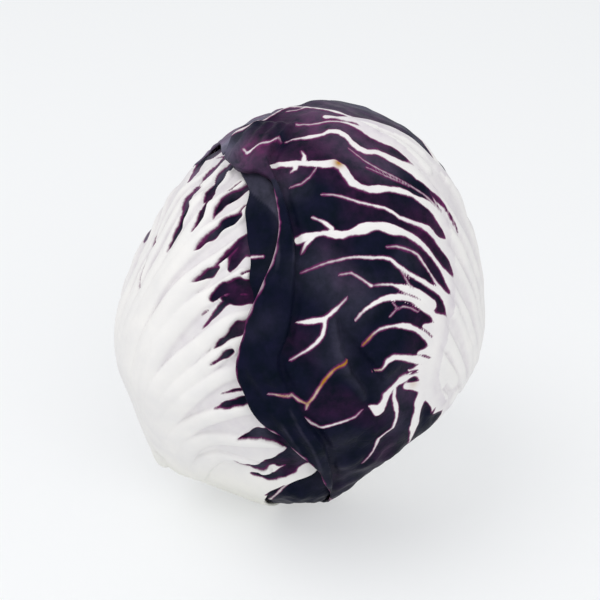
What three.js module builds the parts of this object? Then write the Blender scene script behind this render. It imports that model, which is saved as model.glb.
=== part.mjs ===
// Head of red radicchio, the round Chioggia kind, standing on its trimmed stem.
// Millimetres, +Z from the stem to the crown, the seam between the wrapper leaves towards -Y.
// Each leaf is a closed shell laid on the same rounded head shape, at a depth of its own.
import * as THREE from 'three';

// Driving dimensions of the whole head
const HALF_WIDTH = 56; // from the axis to the side, at the widest level
const HALF_DEPTH = 52; // from the axis to the front or back
const CROWN_RISE = 71; // from the widest level up to the crown
const ROOT_DROP = 58; // from the widest level down to where the leaves would meet
const ROOT_TAPER = 1.6; // 2 would be a full round underside, less draws it in to the stem
const LEAN = 7; // degrees that the crown leans to +X; the stem stands straight
const TRIM = 2.6; // how far above that meeting point the stem is cut

// Broad swells (+) and flats (-) of the head: lon and lat in degrees, spread in degrees
const SWELLS = [
  { lon: -70, lat: -42, spread: 16, rise: 5 }, // shoulder low on the left
  { lon: -90, lat: -10, spread: 20, rise: -7 }, // hollow above that shoulder
  { lon: 85, lat: -44, spread: 26, rise: -12 }, // right side drawn in to the stem
  { lon: -90, lat: 42, spread: 27, rise: -7.5 }, // left side flattened under the crown
  { lon: 5, lat: -55, spread: 16, rise: 3 }, // keel below the seam
  { lon: 105, lat: 58, spread: 28, rise: 2.2 }, // crown full on the right
];

// Stem core: half section from the cut face up to its growing tip
const CORE_PROFILE = [
  [0, 0],
  [11.6, 0],
  [12.4, 0.8],
  [12.7, 4],
  [12.2, 10],
  [10.8, 20],
  [8.6, 32],
  [5.6, 43],
  [2.4, 49],
  [0, 50],
];
const CORE_SIDES = 24;

// Leaf thicknesses and the depths at which the leaves lie below the outside of the head
const OUTER_THICKNESS = 1.05;
const OUTER_PITCH = 1.85;
const INNER_THICKNESS = 1.7;
const INNER_PITCH = 3.3;
const INNER_START = 7.8;
const INNER_COUNT = 9;
const MARGIN_THINNING = 0.35; // share of the thickness lost at a leaf's margin
const GAP = 0.3; // clearance between a leaf's foot and the core
const FOOT_LAT = -72; // about how low the leaves' feet lie

// Heart bud: the tight cluster of youngest leaves on top of the core
const BUD_RADIUS = 10.5;
const BUD_HEIGHT = 34;
const BUD_SIDES = 20;
const BUD_RINGS = 9;

// Phyllotaxis: each inner leaf starts this many degrees round from the last one
const LEAF_TURN = 137.5;
const INNER_HALF_SPAN = 68;
const INNER_FIRST_LON = 150;

// Latitudes between which the lines across a leaf turn from level rings into arcs
const RING_BELOW = -35;
const ARC_ABOVE = 5;

const rad = THREE.MathUtils.degToRad;
const deg = THREE.MathUtils.radToDeg;
const smooth = THREE.MathUtils.smoothstep;

// lon 0 faces the front (-Y), +90 the right (+X); lat 90 is the crown.
function direction(lon, lat) {
  const level = Math.cos(rad(lat));
  return new THREE.Vector3(
    Math.sin(rad(lon)) * level,
    -Math.cos(rad(lon)) * level,
    Math.sin(rad(lat)),
  );
}

const lonOf = (dir) => deg(Math.atan2(dir.x, -dir.y));
const latOf = (dir) => deg(Math.asin(THREE.MathUtils.clamp(dir.z, -1, 1)));

// Distance from the middle of the head to its outside, along one direction.
function headRadius(dir) {
  const lean = rad(LEAN) * (0.5 + 0.5 * dir.z);
  const x = dir.x * Math.cos(lean) - dir.z * Math.sin(lean);
  const z = dir.x * Math.sin(lean) + dir.z * Math.cos(lean);
  const level = Math.hypot(x / HALF_WIDTH, dir.y / HALF_DEPTH);
  const rise = z > 0 ? CROWN_RISE : ROOT_DROP;
  const power = z > 0 ? 2 : ROOT_TAPER;
  let radius = (level ** power + Math.abs(z / rise) ** power) ** (-1 / power);
  for (const swell of SWELLS) {
    const away = deg(direction(swell.lon, swell.lat).angleTo(dir)) / swell.spread;
    radius += swell.rise * Math.exp(-away * away);
  }
  return radius;
}

const MIDDLE = new THREE.Vector3(0, 0, headRadius(direction(0, -90)) - TRIM);

const pointAt = (dir, depth) => dir.clone().multiplyScalar(headRadius(dir) - depth).add(MIDDLE);

function coreRadius(z) {
  for (let i = 1; i < CORE_PROFILE.length; i += 1) {
    const [r0, z0] = CORE_PROFILE[i - 1];
    const [r1, z1] = CORE_PROFILE[i];
    if (z1 > z0 && z <= z1) return THREE.MathUtils.lerp(r0, r1, Math.max(z - z0, 0) / (z1 - z0));
  }
  return 0;
}

// Where a leaf at this depth meets the core, at one longitude.
function footDirection(lon, depth) {
  let inside = -88;
  let outside = -10;
  for (let step = 0; step < 30; step += 1) {
    const lat = (inside + outside) / 2;
    const point = pointAt(direction(lon, lat), depth);
    if (Math.hypot(point.x, point.y) > coreRadius(point.z) + GAP) outside = lat;
    else inside = lat;
  }
  return direction(lon, outside);
}

// A smooth line over the head from the leaf's foot through [lon, lat] points.
function guideLine(foot, points) {
  const stops = [foot, ...points.map(([lon, lat]) => direction(lon, lat))];
  const curve = new THREE.CatmullRomCurve3(stops, false, 'centripetal');
  return (u) => curve.getPointAt(u).normalize();
}

// The direction a share t of the way from the midrib to a margin: along a level ring low on
// the head, where the leaves clasp the core, and along the shortest arc higher up.
function swept(mid, margin, t) {
  const angle = mid.angleTo(margin);
  const arc = mid.clone().multiplyScalar(Math.sin((1 - t) * angle))
    .addScaledVector(margin, Math.sin(t * angle)).normalize();
  const turn = THREE.MathUtils.euclideanModulo(lonOf(margin) - lonOf(mid) + 180, 360) - 180;
  const level = direction(lonOf(mid) + turn * t, THREE.MathUtils.lerp(latOf(mid), latOf(margin), t));
  return level.lerp(arc, smooth(latOf(mid), RING_BELOW, ARC_ABOVE)).normalize();
}

function closedMesh(name, positions, triangles, colour, roughness) {
  const geometry = new THREE.BufferGeometry();
  geometry.setAttribute('position', new THREE.Float32BufferAttribute(positions, 3));
  geometry.setIndex(triangles);
  geometry.computeVertexNormals();
  const material = new THREE.MeshStandardMaterial({ color: colour, roughness, metalness: 0 });
  const mesh = new THREE.Mesh(geometry, material);
  mesh.name = name;
  return mesh;
}

// A leaf: an outside and an inside sheet over the same grid, joined round the rim.
// left, mid and right are its two margins and its midrib, each { foot, points }.
function leafMesh({ name, left, mid, right, depth, thickness, rows, columns, rib = 0, colour }) {
  const footAt = (lon) => footDirection(lon, depth(lon, FOOT_LAT) + thickness);
  const [leftLine, midLine, rightLine] = [left, mid, right].map((line) =>
    guideLine(footAt(line.foot), line.points));
  const outside = [];
  const inside = [];
  for (let row = 0; row <= rows; row += 1) {
    const u = row / rows;
    for (let column = 0; column <= columns; column += 1) {
      const v = (2 * column) / columns - 1;
      const side = v < 0 ? leftLine(u) : rightLine(u);
      const laidAcross = swept(midLine(u), side, Math.abs(v));
      const dir = row === 0 ? footAt(lonOf(laidAcross)) : laidAcross;
      const laid = depth(lonOf(dir), latOf(dir));
      const raised = rib * smooth(u, 0, 0.15) * (1 - u) ** 1.5 * Math.exp(-((v / 0.13) ** 2));
      const wall = thickness * (1 - MARGIN_THINNING * v * v);
      outside.push(...pointAt(dir, laid - raised).toArray());
      inside.push(...pointAt(dir, laid + wall).toArray());
    }
  }
  const perRow = columns + 1;
  const back = (rows + 1) * perRow;
  const triangles = [];
  const quad = (a, b, c, d) => triangles.push(a, b, c, a, c, d);
  for (let row = 0; row < rows; row += 1) {
    for (let column = 0; column < columns; column += 1) {
      const a = row * perRow + column;
      const b = a + 1;
      const c = b + perRow;
      const d = a + perRow;
      quad(a, b, c, d);
      quad(back + a, back + d, back + c, back + b);
    }
  }
  for (let column = 0; column < columns; column += 1) {
    const top = rows * perRow + column;
    quad(column, back + column, back + column + 1, column + 1);
    quad(top, top + 1, back + top + 1, back + top);
  }
  for (let row = 0; row < rows; row += 1) {
    const near = row * perRow;
    const far = near + columns;
    quad(near, near + perRow, back + near + perRow, back + near);
    quad(far, back + far, back + far + perRow, far + perRow);
  }
  return closedMesh(name, [...outside, ...inside], triangles, colour, 0.45);
}

// A closed solid of revolution about Z from [radius, height] points, axis to axis, going up.
function turnedMesh(name, profile, sides, colour, roughness) {
  const rings = profile.slice(1, -1);
  const positions = [0, 0, profile[0][1]];
  for (const [radius, height] of rings) {
    for (let side = 0; side < sides; side += 1) {
      const angle = (2 * Math.PI * side) / sides;
      positions.push(radius * Math.cos(angle), radius * Math.sin(angle), height);
    }
  }
  positions.push(0, 0, profile[profile.length - 1][1]);
  const top = positions.length / 3 - 1;
  const triangles = [];
  for (let side = 0; side < sides; side += 1) {
    const next = (side + 1) % sides;
    triangles.push(0, 1 + next, 1 + side);
    for (let ring = 0; ring + 1 < rings.length; ring += 1) {
      const a = 1 + ring * sides + side;
      const b = 1 + ring * sides + next;
      triangles.push(a, b, b + sides, a, b + sides, a + sides);
    }
    const last = 1 + (rings.length - 1) * sides;
    triangles.push(last + side, last + next, top);
  }
  return closedMesh(name, positions, triangles, colour, roughness);
}

function stemCore() {
  return turnedMesh('stem_core', CORE_PROFILE, CORE_SIDES, 0xe6ddc6, 0.7);
}

function heartBud() {
  const foot = CORE_PROFILE[CORE_PROFILE.length - 1][1] + GAP;
  const profile = [[0, foot]];
  for (let ring = 1; ring < BUD_RINGS; ring += 1) {
    const t = ring / BUD_RINGS;
    profile.push([BUD_RADIUS * Math.sin(Math.PI * t ** 0.8), foot + BUD_HEIGHT * t]);
  }
  profile.push([0, foot + BUD_HEIGHT]);
  return turnedMesh('heart_bud', profile, BUD_SIDES, 0xd9c3c4, 0.5);
}

// How far a longitude lies round from another one, 0 to 180 degrees.
const apart = (lon, other) => Math.abs(THREE.MathUtils.euclideanModulo(lon - other + 180, 360) - 180);

// Right wrapper leaf, the outermost: its free margin is the seam down the front.
function outerRightLeaf() {
  return leafMesh({
    name: 'leaf_outer_right',
    left: {
      foot: 25,
      points: [[18, -48], [8, -21], [-2, -7], [-12, 3], [-17, 14], [-16, 28], [-10, 42],
        [-6, 52], [-9, 62], [-14, 69], [-34, 74]],
    },
    mid: { foot: 85, points: [[82, -42], [85, 0], [86, 40], [82, 66], [50, 82], [-52, 76]] },
    right: { foot: 145, points: [[150, -42], [155, 0], [156, 40], [152, 64], [140, 79], [-90, 83]] },
    depth: () => 0,
    thickness: OUTER_THICKNESS,
    rows: 21,
    columns: 18,
    rib: 1.4,
    colour: 0x3a1a35,
  });
}

// Leaf under the right wrapper, seen as a dark strip along the upper seam.
function underRightLeaf() {
  return leafMesh({
    name: 'leaf_under_right',
    left: { foot: 46, points: [[32, -42], [8, -16], [-7, 6], [-13, 28], [-18, 46], [-23, 60], [-28, 69]] },
    mid: { foot: 66, points: [[60, -30], [50, 10], [42, 40], [25, 60], [-8, 72]] },
    right: { foot: 98, points: [[98, -30], [96, 10], [90, 40], [68, 60], [12, 72]] },
    depth: () => OUTER_PITCH,
    thickness: OUTER_THICKNESS,
    rows: 16,
    columns: 11,
    colour: 0x241826,
  });
}

// Left wrapper leaf: outermost on the left, tucked under its neighbours at the seam, back and crown.
function outerLeftLeaf() {
  const tucked = (lon, lat) => Math.max(
    smooth(lon, -50, -30) * smooth(lat, -46, -28),
    smooth(apart(lon, -40), 42, 56) * (lon < -60 || lon > 90 ? 1 : 0),
    smooth(lat, 40, 56),
  );
  return leafMesh({
    name: 'leaf_outer_left',
    left: { foot: -138, points: [[-146, -40], [-154, 0], [-154, 36], [-146, 60], [-104, 80]] },
    mid: { foot: -70, points: [[-66, -36], [-70, -8], [-74, 22], [-72, 48], [-50, 77]] },
    right: { foot: -24, points: [[-13, -47], [-8, -35], [7, -26], [10, 2], [6, 32], [0, 58], [-8, 77]] },
    depth: (lon, lat) => 0.2 + 2 * OUTER_PITCH * tucked(lon, lat),
    thickness: OUTER_THICKNESS,
    rows: 20,
    columns: 16,
    rib: 1.6,
    colour: 0xd8cfd0,
  });
}

// Back wrapper leaf: under the right wrapper, over the left one, its tip laid over the crown.
function outerBackLeaf() {
  const showing = (lon, lat) => smooth(apart(lon, 90), 78, 104) * (1 - smooth(lat, 50, 66));
  return leafMesh({
    name: 'leaf_outer_back',
    left: { foot: 125, points: [[120, -40], [118, 0], [116, 38], [112, 60], [96, 76], [-20, 86]] },
    mid: { foot: 180, points: [[180, -40], [180, 0], [180, 42], [184, 68], [236, 82], [292, 77]] },
    right: { foot: 232, points: [[238, -36], [256, -4], [264, 14], [257, 34], [251, 52], [262, 66], [284, 71]] },
    depth: (lon, lat) => OUTER_PITCH * (1 - 0.9 * showing(lon, lat)),
    thickness: OUTER_THICKNESS,
    rows: 19,
    columns: 13,
    rib: 1.3,
    colour: 0x4a2244,
  });
}

// Front leaf under both wrappers: its foot shows below the seam, and stands out there.
function underFrontLeaf() {
  const showing = (lon, lat) => (1 - smooth(lat, -46, -28)) * (1 - smooth(apart(lon, 0), 5, 17));
  return leafMesh({
    name: 'leaf_under_front',
    left: { foot: -48, points: [[-54, -30], [-58, 4], [-54, 40], [-34, 66]] },
    mid: { foot: 0, points: [[0, -40], [0, 0], [0, 40], [0, 71]] },
    right: { foot: 48, points: [[52, -30], [56, 4], [52, 40], [34, 66]] },
    depth: (lon, lat) => 0.2 + OUTER_PITCH * (3 - 2.9 * showing(lon, lat)),
    thickness: OUTER_THICKNESS,
    rows: 16,
    columns: 11,
    colour: 0x1d1526,
  });
}

// Inner leaves: each starts further round the core than the last, cups the ones inside it
// and laps over the crown.
function innerLeaf(index) {
  const lon = INNER_FIRST_LON + LEAF_TURN * index;
  const span = INNER_HALF_SPAN;
  const foot = 42;
  return leafMesh({
    name: `leaf_inner_${index + 1}`,
    left: { foot: lon - foot, points: [[lon - span, 0], [lon - span, 40], [lon - 96, 74]] },
    mid: { foot: lon, points: [[lon, 0], [lon, 45], [lon, 80], [lon + 180, 76]] },
    right: { foot: lon + foot, points: [[lon + span, 0], [lon + span, 40], [lon + 96, 74]] },
    depth: () => INNER_START + INNER_PITCH * index,
    thickness: INNER_THICKNESS,
    rows: 12,
    columns: 8,
    colour: 0x8a4a72,
  });
}

const head = new THREE.Group();
head.add(
  stemCore(),
  heartBud(),
  outerRightLeaf(),
  underRightLeaf(),
  outerLeftLeaf(),
  outerBackLeaf(),
  underFrontLeaf(),
);
for (let index = 0; index < INNER_COUNT; index += 1) head.add(innerLeaf(index));

// The head's footprint is centred on the origin, and its stem stands on z = 0.
const footprint = new THREE.Box3().setFromObject(head).getCenter(new THREE.Vector3());
head.position.set(-footprint.x, -footprint.y, 0);
head.updateMatrixWorld(true);

export default head;
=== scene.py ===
"""Head of red radicchio, round Chioggia kind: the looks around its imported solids.

Sizes in the code are millimetres unless a name says otherwise, and meshes are written in metres.
Places on the head are given as (lon, lat) in degrees: lon 0 faces the front (-Y), +90 the right
(+X), and lat 90 is the crown.
"""

import math
from functools import partial

import bmesh
import bpy
import numpy as np
from bpy.props import FloatProperty, FloatVectorProperty, PointerProperty
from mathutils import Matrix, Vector


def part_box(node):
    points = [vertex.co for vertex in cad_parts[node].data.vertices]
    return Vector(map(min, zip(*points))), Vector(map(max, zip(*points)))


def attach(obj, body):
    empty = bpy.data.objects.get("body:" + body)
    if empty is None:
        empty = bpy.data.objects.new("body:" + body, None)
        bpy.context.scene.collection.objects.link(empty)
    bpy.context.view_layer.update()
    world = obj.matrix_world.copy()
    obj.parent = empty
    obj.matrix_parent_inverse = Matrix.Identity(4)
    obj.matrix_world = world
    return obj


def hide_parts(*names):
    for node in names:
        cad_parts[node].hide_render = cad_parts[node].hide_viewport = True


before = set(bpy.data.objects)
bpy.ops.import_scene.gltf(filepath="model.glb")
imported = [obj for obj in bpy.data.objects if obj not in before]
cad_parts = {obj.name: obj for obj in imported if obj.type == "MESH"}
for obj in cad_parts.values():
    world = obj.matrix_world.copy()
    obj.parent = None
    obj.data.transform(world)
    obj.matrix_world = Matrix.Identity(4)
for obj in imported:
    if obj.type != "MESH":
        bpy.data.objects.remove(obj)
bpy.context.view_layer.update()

bl_info = {
    "name": "Radicchio head",
    "version": (1, 0, 0),
    "blender": (4, 5, 0),
    "location": "View3D > Sidebar > Radicchio",
    "description": "Builds the leaves, stem and studio of a head of red radicchio",
    "category": "Object",
}

MM = 0.001

# The head shape, as the solids have it: sizes in millimetres, angles in degrees
HALF_WIDTH = 56
HALF_DEPTH = 52
CROWN_RISE = 71
ROOT_DROP = 58
ROOT_TAPER = 1.6
LEAN = 7
TRIM = 2.6
# Longitude and latitude of each swell, its spread in degrees and its height
SWELLS = (
    (-72, -43, 16, 4.5),
    (-92, -15, 21, -9),
    (85, -44, 26, -12),
    (-90, 42, 27, -7.5),
    (5, -55, 16, 3),
    (105, 58, 28, 2.2),
)
# Radius and height of the stem core, from the middle of its cut face up
CORE_PROFILE = (
    (0, 0), (11.6, 0), (12.4, 0.8), (12.7, 4), (12.2, 10), (10.8, 20), (8.6, 32), (5.6, 43),
    (2.4, 49), (0, 50),
)
GAP = 0.3  # between a leaf's foot and the core
HALVINGS = 26  # of the range of latitudes in which a foot is sought
FOOT_LAT = -72  # where a leaf's depth is read for its foot
OUTER_PITCH = 1.85  # from one outer leaf in to the next
INNER_START = 7.8  # depth of the first inner leaf
INNER_PITCH = 3.3  # from one inner leaf in to the next
INNER_COUNT = 9
INNER_FIRST_LON = 150
INNER_HALF_SPAN = 68
LEAF_TURN = 137.5  # round the head from one inner leaf to the next
RING_BELOW = -35  # below this latitude a leaf runs level from its midrib to its margins
ARC_ABOVE = 5  # and above this one it takes the shortest way

# Leaves
OUTER_THICKNESS = 1.05
INNER_THICKNESS = 1.7
MIDRIB_SHARE = 0.13  # half-width of the raised midrib, as a share of the leaf's half-width
THIN_MARGIN = 0.35  # how much thinner a leaf is at its margins
FOOT_SHARE = 0.05  # the part of a leaf's length that is drawn in to its foot on the core
FOOT_CLEARANCE = 0.3  # no leaf comes nearer the floor than this
INSIDE_ABOVE = 0.4  # and its inside stays this much higher
DEEPEST_SHARE = 0.6  # of its thickness that a furrow cuts into a leaf at most
SOLID_RELIEF = 0.9  # relief up to this thickens a leaf, and its inside follows what is higher
INSIDE_CELLS = 6  # cells of a leaf's outside to one cell of its inside

# Veins
CURVE_STEPS = 24  # from one given point of a curve to the next
PATH_STEP = 2.5  # between the points of a vein's path
REACH = 6.0  # how far from a vein its distance is still worked out
FINEST = 0.3  # the least half-width that the mesh of a leaf can carry
THREAD = 0.2  # finer veins than this half-width stay finer than that
SHOULDER = 0.5  # beside a vein, where its relief falls away
CRISP = 0.85  # either side of a vein, where the distance across it is kept
CRISP_FADE = 0.2  # over which that distance fades out
VEIN_GAP = 0.7  # it fades out too where the next vein is nearly as near as this
BRANCHES = 3  # on each side vein
WAVES = 12  # that make up a smooth noise
MELT = 2.0  # over which two pale areas flow into one
SPREADING = 2.6  # how much a vein broadens where it runs into the white


def linear(hex_colour):
    """An sRGB hex colour as linear RGBA."""
    channels = [int(hex_colour[i:i + 2], 16) / 255 for i in (1, 3, 5)]
    rgb = [c / 12.92 if c <= 0.04045 else ((c + 0.055) / 1.055) ** 2.4 for c in channels]
    return (*rgb, 1.0)


def smoothstep(low, high, value):
    """0 up to low, 1 from high on, smooth between them; low may be the greater."""
    t = np.clip((np.asarray(value, float) - low) / (high - low), 0, 1)
    return t * t * (3 - 2 * t)


def fade_ends(share, first, last):
    """0 at both ends of a line, 1 between its first and last shares."""
    return smoothstep(0, first, share) * smoothstep(1, 1 - last, share)


def unit(vectors):
    """The same vectors, one unit long."""
    return vectors / np.linalg.norm(vectors, axis=-1, keepdims=True)


# ---- The head shape ----

def direction(lon, lat):
    """Unit directions from the middle of the head."""
    lon, lat = np.radians(lon), np.radians(lat)
    level = np.cos(lat)
    return np.stack([np.sin(lon) * level, -np.cos(lon) * level, np.sin(lat)], axis=-1)


def lon_of(dirs):
    """Longitudes of directions, in degrees."""
    return np.degrees(np.arctan2(dirs[..., 0], -dirs[..., 1]))


def lat_of(dirs):
    """Latitudes of directions, in degrees."""
    return np.degrees(np.arcsin(np.clip(dirs[..., 2], -1, 1)))


def apart(lon, other):
    """How far round one longitude lies from another, 0 to 180 degrees."""
    return np.abs((lon - other + 180) % 360 - 180)


def head_radius(dirs):
    """Distance from the middle of the head to its outside."""
    lean = np.radians(LEAN) * (0.5 + 0.5 * dirs[..., 2])
    x = dirs[..., 0] * np.cos(lean) - dirs[..., 2] * np.sin(lean)
    z = dirs[..., 0] * np.sin(lean) + dirs[..., 2] * np.cos(lean)
    level = np.hypot(x / HALF_WIDTH, dirs[..., 1] / HALF_DEPTH)
    rise = np.where(z > 0, CROWN_RISE, ROOT_DROP)
    power = np.where(z > 0, 2.0, ROOT_TAPER)
    radius = (level ** power + np.abs(z / rise) ** power) ** (-1 / power)
    for lon, lat, spread, swell in SWELLS:
        cosine = np.clip(dirs @ direction(lon, lat), -1, 1)
        radius = radius + swell * np.exp(-(np.degrees(np.arccos(cosine)) / spread) ** 2)
    return radius


STEM_LOW, STEM_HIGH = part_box("stem_core")
AXIS = (STEM_LOW + STEM_HIGH) / 2 / MM
MIDDLE = np.array([AXIS.x, AXIS.y, float(head_radius(direction(0, -90))) - TRIM])


def on_head(dirs, depth):
    """Points this far below the outside of the head."""
    return MIDDLE + dirs * (head_radius(dirs) - depth)[..., None]


def foot_lat(lon, depth):
    """Latitudes at which leaves at this depth meet the core."""
    radii, heights = np.array(CORE_PROFILE[1:-1]).T
    inside = np.full(np.shape(lon), -88.0)
    outside = np.full(np.shape(lon), -10.0)
    for _ in range(HALVINGS):
        lat = (inside + outside) / 2
        point = on_head(direction(lon, lat), depth) - [MIDDLE[0], MIDDLE[1], 0]
        core = np.interp(point[..., 2], heights, radii)
        clear = np.hypot(point[..., 0], point[..., 1]) > core + GAP
        outside = np.where(clear, lat, outside)
        inside = np.where(clear, inside, lat)
    return outside


def curve_through(stops):
    """A centripetal Catmull-Rom curve: a fine polyline and the share of length at its points."""
    stops = np.asarray(stops, float)
    before = 2 * stops[0] - stops[1]
    after = 2 * stops[-1] - stops[-2]
    points = np.vstack([before, stops, after])
    t = np.linspace(0, 1, CURVE_STEPS, endpoint=False)[:, None]
    pieces = []
    for p0, p1, p2, p3 in zip(points, points[1:], points[2:], points[3:]):
        d0, d1, d2 = (max(np.linalg.norm(b - a), 1e-6) ** 0.5
                      for a, b in ((p0, p1), (p1, p2), (p2, p3)))
        m1 = ((p1 - p0) / d0 - (p2 - p0) / (d0 + d1) + (p2 - p1) / d1) * d1
        m2 = ((p2 - p1) / d1 - (p3 - p1) / (d1 + d2) + (p3 - p2) / d2) * d1
        pieces.append(p1 + m1 * t + (3 * (p2 - p1) - 2 * m1 - m2) * t ** 2
                      + (2 * (p1 - p2) + m1 + m2) * t ** 3)
    line = np.vstack([*pieces, stops[-1:]])
    lengths = np.linalg.norm(np.diff(line, axis=0), axis=1)
    share = np.concatenate([[0], np.cumsum(lengths)]) / lengths.sum()
    return line, share


def along(line, share, t):
    """Points on a polyline at these shares of its length."""
    return np.stack([np.interp(t, share, line[:, axis]) for axis in range(line.shape[1])], -1)


class Leaf:
    """Where a leaf lies: its two margins and its midrib over the head, and its depth.

    Each line is (foot longitude, [(lon, lat), ...]). A place on the leaf is u, the share of the
    way from its foot to its tip, and v, from -1 at the left margin to +1 at the right one.
    """

    def __init__(self, left, mid, right, depth, thickness, rib=0.0):
        self.depth = depth
        self.thickness = thickness
        self.rib = rib
        self.lines = []
        for foot, points in (left, mid, right):
            start = direction(foot, self.foot(foot))
            stops = [start] + [direction(lon, lat) for lon, lat in points]
            self.lines.append(curve_through(stops))

    def foot(self, lon):
        return foot_lat(lon, self.depth(lon, FOOT_LAT) + self.thickness)

    def dirs(self, u, v):
        left, mid, right = (unit(along(line, share, u)) for line, share in self.lines)
        side = np.where((v < 0)[..., None], left, right)
        part = np.abs(v)
        angle = np.arccos(np.clip((mid * side).sum(-1), -1, 1))
        arc = (mid * np.sin((1 - part) * angle)[..., None]
               + side * np.sin(part * angle)[..., None])
        arc = arc / np.maximum(np.sin(angle), 1e-6)[..., None]
        turn = (lon_of(side) - lon_of(mid) + 180) % 360 - 180
        level = direction(lon_of(mid) + turn * part,
                          lat_of(mid) + (lat_of(side) - lat_of(mid)) * part)
        bend = smoothstep(RING_BELOW, ARC_ABOVE, lat_of(mid))[..., None]
        laid = unit(level * (1 - bend) + arc * bend)
        lon = lon_of(laid)
        at_foot = direction(lon, self.foot(lon))
        near_foot = np.clip(1 - u / FOOT_SHARE, 0, 1)[..., None]
        return unit(laid * (1 - near_foot) + at_foot * near_foot)

    def place(self, u, v, dirs, relief, wall):
        """Points on the leaf; wall is 0 on its outside and 1 on its inside."""
        midrib = smoothstep(0, 0.15, u) * (1 - u) ** 1.5 * np.exp(-(v / MIDRIB_SHARE) ** 2)
        raised = self.rib * midrib
        laid = self.depth(lon_of(dirs), lat_of(dirs)) - raised - relief
        thick = (self.thickness + raised) * (1 - THIN_MARGIN * v * v)
        return on_head(dirs, laid + wall * thick)


# ---- Veins ----

def stroke(points, widths=(0.0,)):
    """A vein, fold or guide line on the head: its path in mm and its half-width along it."""
    dirs = direction(*np.array(points, float).T) if np.shape(points)[1] == 2 else points
    line, share = curve_through(on_head(unit(np.asarray(dirs, float)), 0))
    length = np.linalg.norm(np.diff(line, axis=0), axis=1).sum()
    t = np.linspace(0, 1, max(int(length / PATH_STEP), 2) + 1)
    widths = np.atleast_1d(np.asarray(widths, float))
    stops = np.linspace(0, 1, len(widths))
    return along(line, share, t), np.interp(t, stops, widths)


def strokes_of(table):
    """The strokes of a table of half-widths and paths."""
    return [stroke(path, widths) for widths, path in table]


def no_wider(strokes, limit):
    """The same strokes, with their half-widths cut off at the limit."""
    return [(line, np.minimum(widths, limit)) for line, widths in strokes]


def to_line(points, line, widths):
    """How far each point is from a line, and at the nearest place the line's width, the side
    that the point is on (+1 is the right as the line goes up) and the share of the line."""
    best = np.full(len(points), 1e3)
    width = np.zeros(len(points))
    side = np.ones(len(points))
    share = np.zeros(len(points))
    total = len(line) - 1
    for i in range(total):
        start, step = line[i], line[i + 1] - line[i]
        t = np.clip((points - start) @ step / (step @ step), 0, 1)
        away = points - start - t[:, None] * step
        distance = np.linalg.norm(away, axis=1)
        closer = distance < best
        rightward = np.cross(step, start - MIDDLE)
        best = np.where(closer, distance, best)
        width = np.where(closer, widths[i] + (widths[i + 1] - widths[i]) * t, width)
        side = np.where(closer, np.sign(away @ rightward), side)
        share = np.where(closer, (i + t) / total, share)
    return best, width, side, share


def near_line(points, line, reach):
    """Indices of the points in the box round a line, grown by reach."""
    inside = (points > line.min(0) - reach) & (points < line.max(0) + reach)
    return np.nonzero(inside.all(1))[0]


def vein_fields(points, strokes, height, widen=None):
    """Signed distance to the nearest stroke's edge (inside is negative), how faint that stroke
    is because it is finer than the mesh, and the relief of all of them."""
    edge = np.full(len(points), REACH)
    faint = np.zeros(len(points))
    relief = np.zeros(len(points))
    uneven = 1 + 0.3 * waviness(points, 2.6, 6)
    for line, widths in strokes:
        near = near_line(points, line, widths.max() + REACH)
        if not len(near):
            continue
        distance, width, _, _ = to_line(points[near], line, widths)
        broad = np.maximum(width * uneven[near], FINEST * np.clip(width / THREAD, 0, 1))
        if widen is not None:
            broad = broad + widen[near] * np.clip(width, 0.15, 1)
        closer = distance - broad < edge[near]
        edge[near] = np.where(closer, distance - broad, edge[near])
        faint[near] = np.where(closer, 1 - np.clip(width / (1.4 * FINEST), 0, 1), faint[near])
        rise = height * np.minimum(width, 2.4) + 0.12
        bump = rise * np.exp(-(distance / (broad + SHOULDER)) ** 2)
        relief[near] = np.maximum(relief[near], bump)
    return edge, faint, relief


def leaf_looks(points, strokes, edge, faint, **shares):
    """The attributes that the leaf material reads.

    The distance to the edge of the nearest vein is kept as two of them. Near a vein the signed
    distance across it runs evenly from one side to the other between the vertices, so a vein
    narrower than a cell stays whole. It fades out midway between two veins.
    """
    nearest = np.full(len(points), 2 * CRISP)
    second = nearest.copy()
    sides = np.zeros(len(points))
    for line, widths in strokes:
        near = near_line(points, line, 2 * CRISP)
        if not len(near):
            continue
        distance, _, side, _ = to_line(points[near], line, widths)
        closer = distance < nearest[near]
        second[near] = np.minimum(second[near], np.where(closer, nearest[near], distance))
        nearest[near] = np.where(closer, distance, nearest[near])
        sides[near] = np.where(closer, side, sides[near])
    alone = np.clip((second - nearest) / VEIN_GAP, 0, 1)
    kept = alone * np.clip((CRISP - nearest) / CRISP_FADE, 0, 1)
    across = sides * nearest * kept
    looks = {"vein_edge": edge - np.abs(across), "vein_across": across, "vein_faint": faint}
    looks.update({name: np.clip(share, 0, 1) for name, share in shares.items()})
    return looks


def flutes(points, ribs, height, spread):
    """Rounded ribs side by side with sharp furrows between them."""
    relief = np.zeros(len(points))
    for line, widths in ribs:
        near = near_line(points, line, widths.max() + spread)
        if not len(near):
            continue
        distance, width, _, _ = to_line(points[near], line, widths)
        round_top = np.sqrt(np.clip(1 - (distance / (width + spread)) ** 2, 0, 1))
        full = np.clip(width / 0.8, 0, 1) * (0.4 + 0.3 * width)
        relief[near] = np.maximum(relief[near], height * full * round_top)
    return relief


def melt(a, b, reach):
    """The lesser of two distances, with the corner between them rounded."""
    overlap = np.maximum(reach - np.abs(a - b), 0)
    return np.minimum(a, b) - overlap ** 2 / (4 * reach)


def waviness(points, size, seed):
    """Smooth noise, mostly from -1 to 1, with features of about this size in mm."""
    rng = np.random.default_rng(1000 + seed)
    directions = unit(rng.normal(size=(WAVES, 3)))
    waves = directions * rng.uniform(0.6, 1.5, (WAVES, 1)) * math.pi / size
    phases = rng.uniform(0, 2 * math.pi, WAVES)
    return np.sin(points @ waves.T + phases).sum(axis=1) / 3.4


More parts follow.
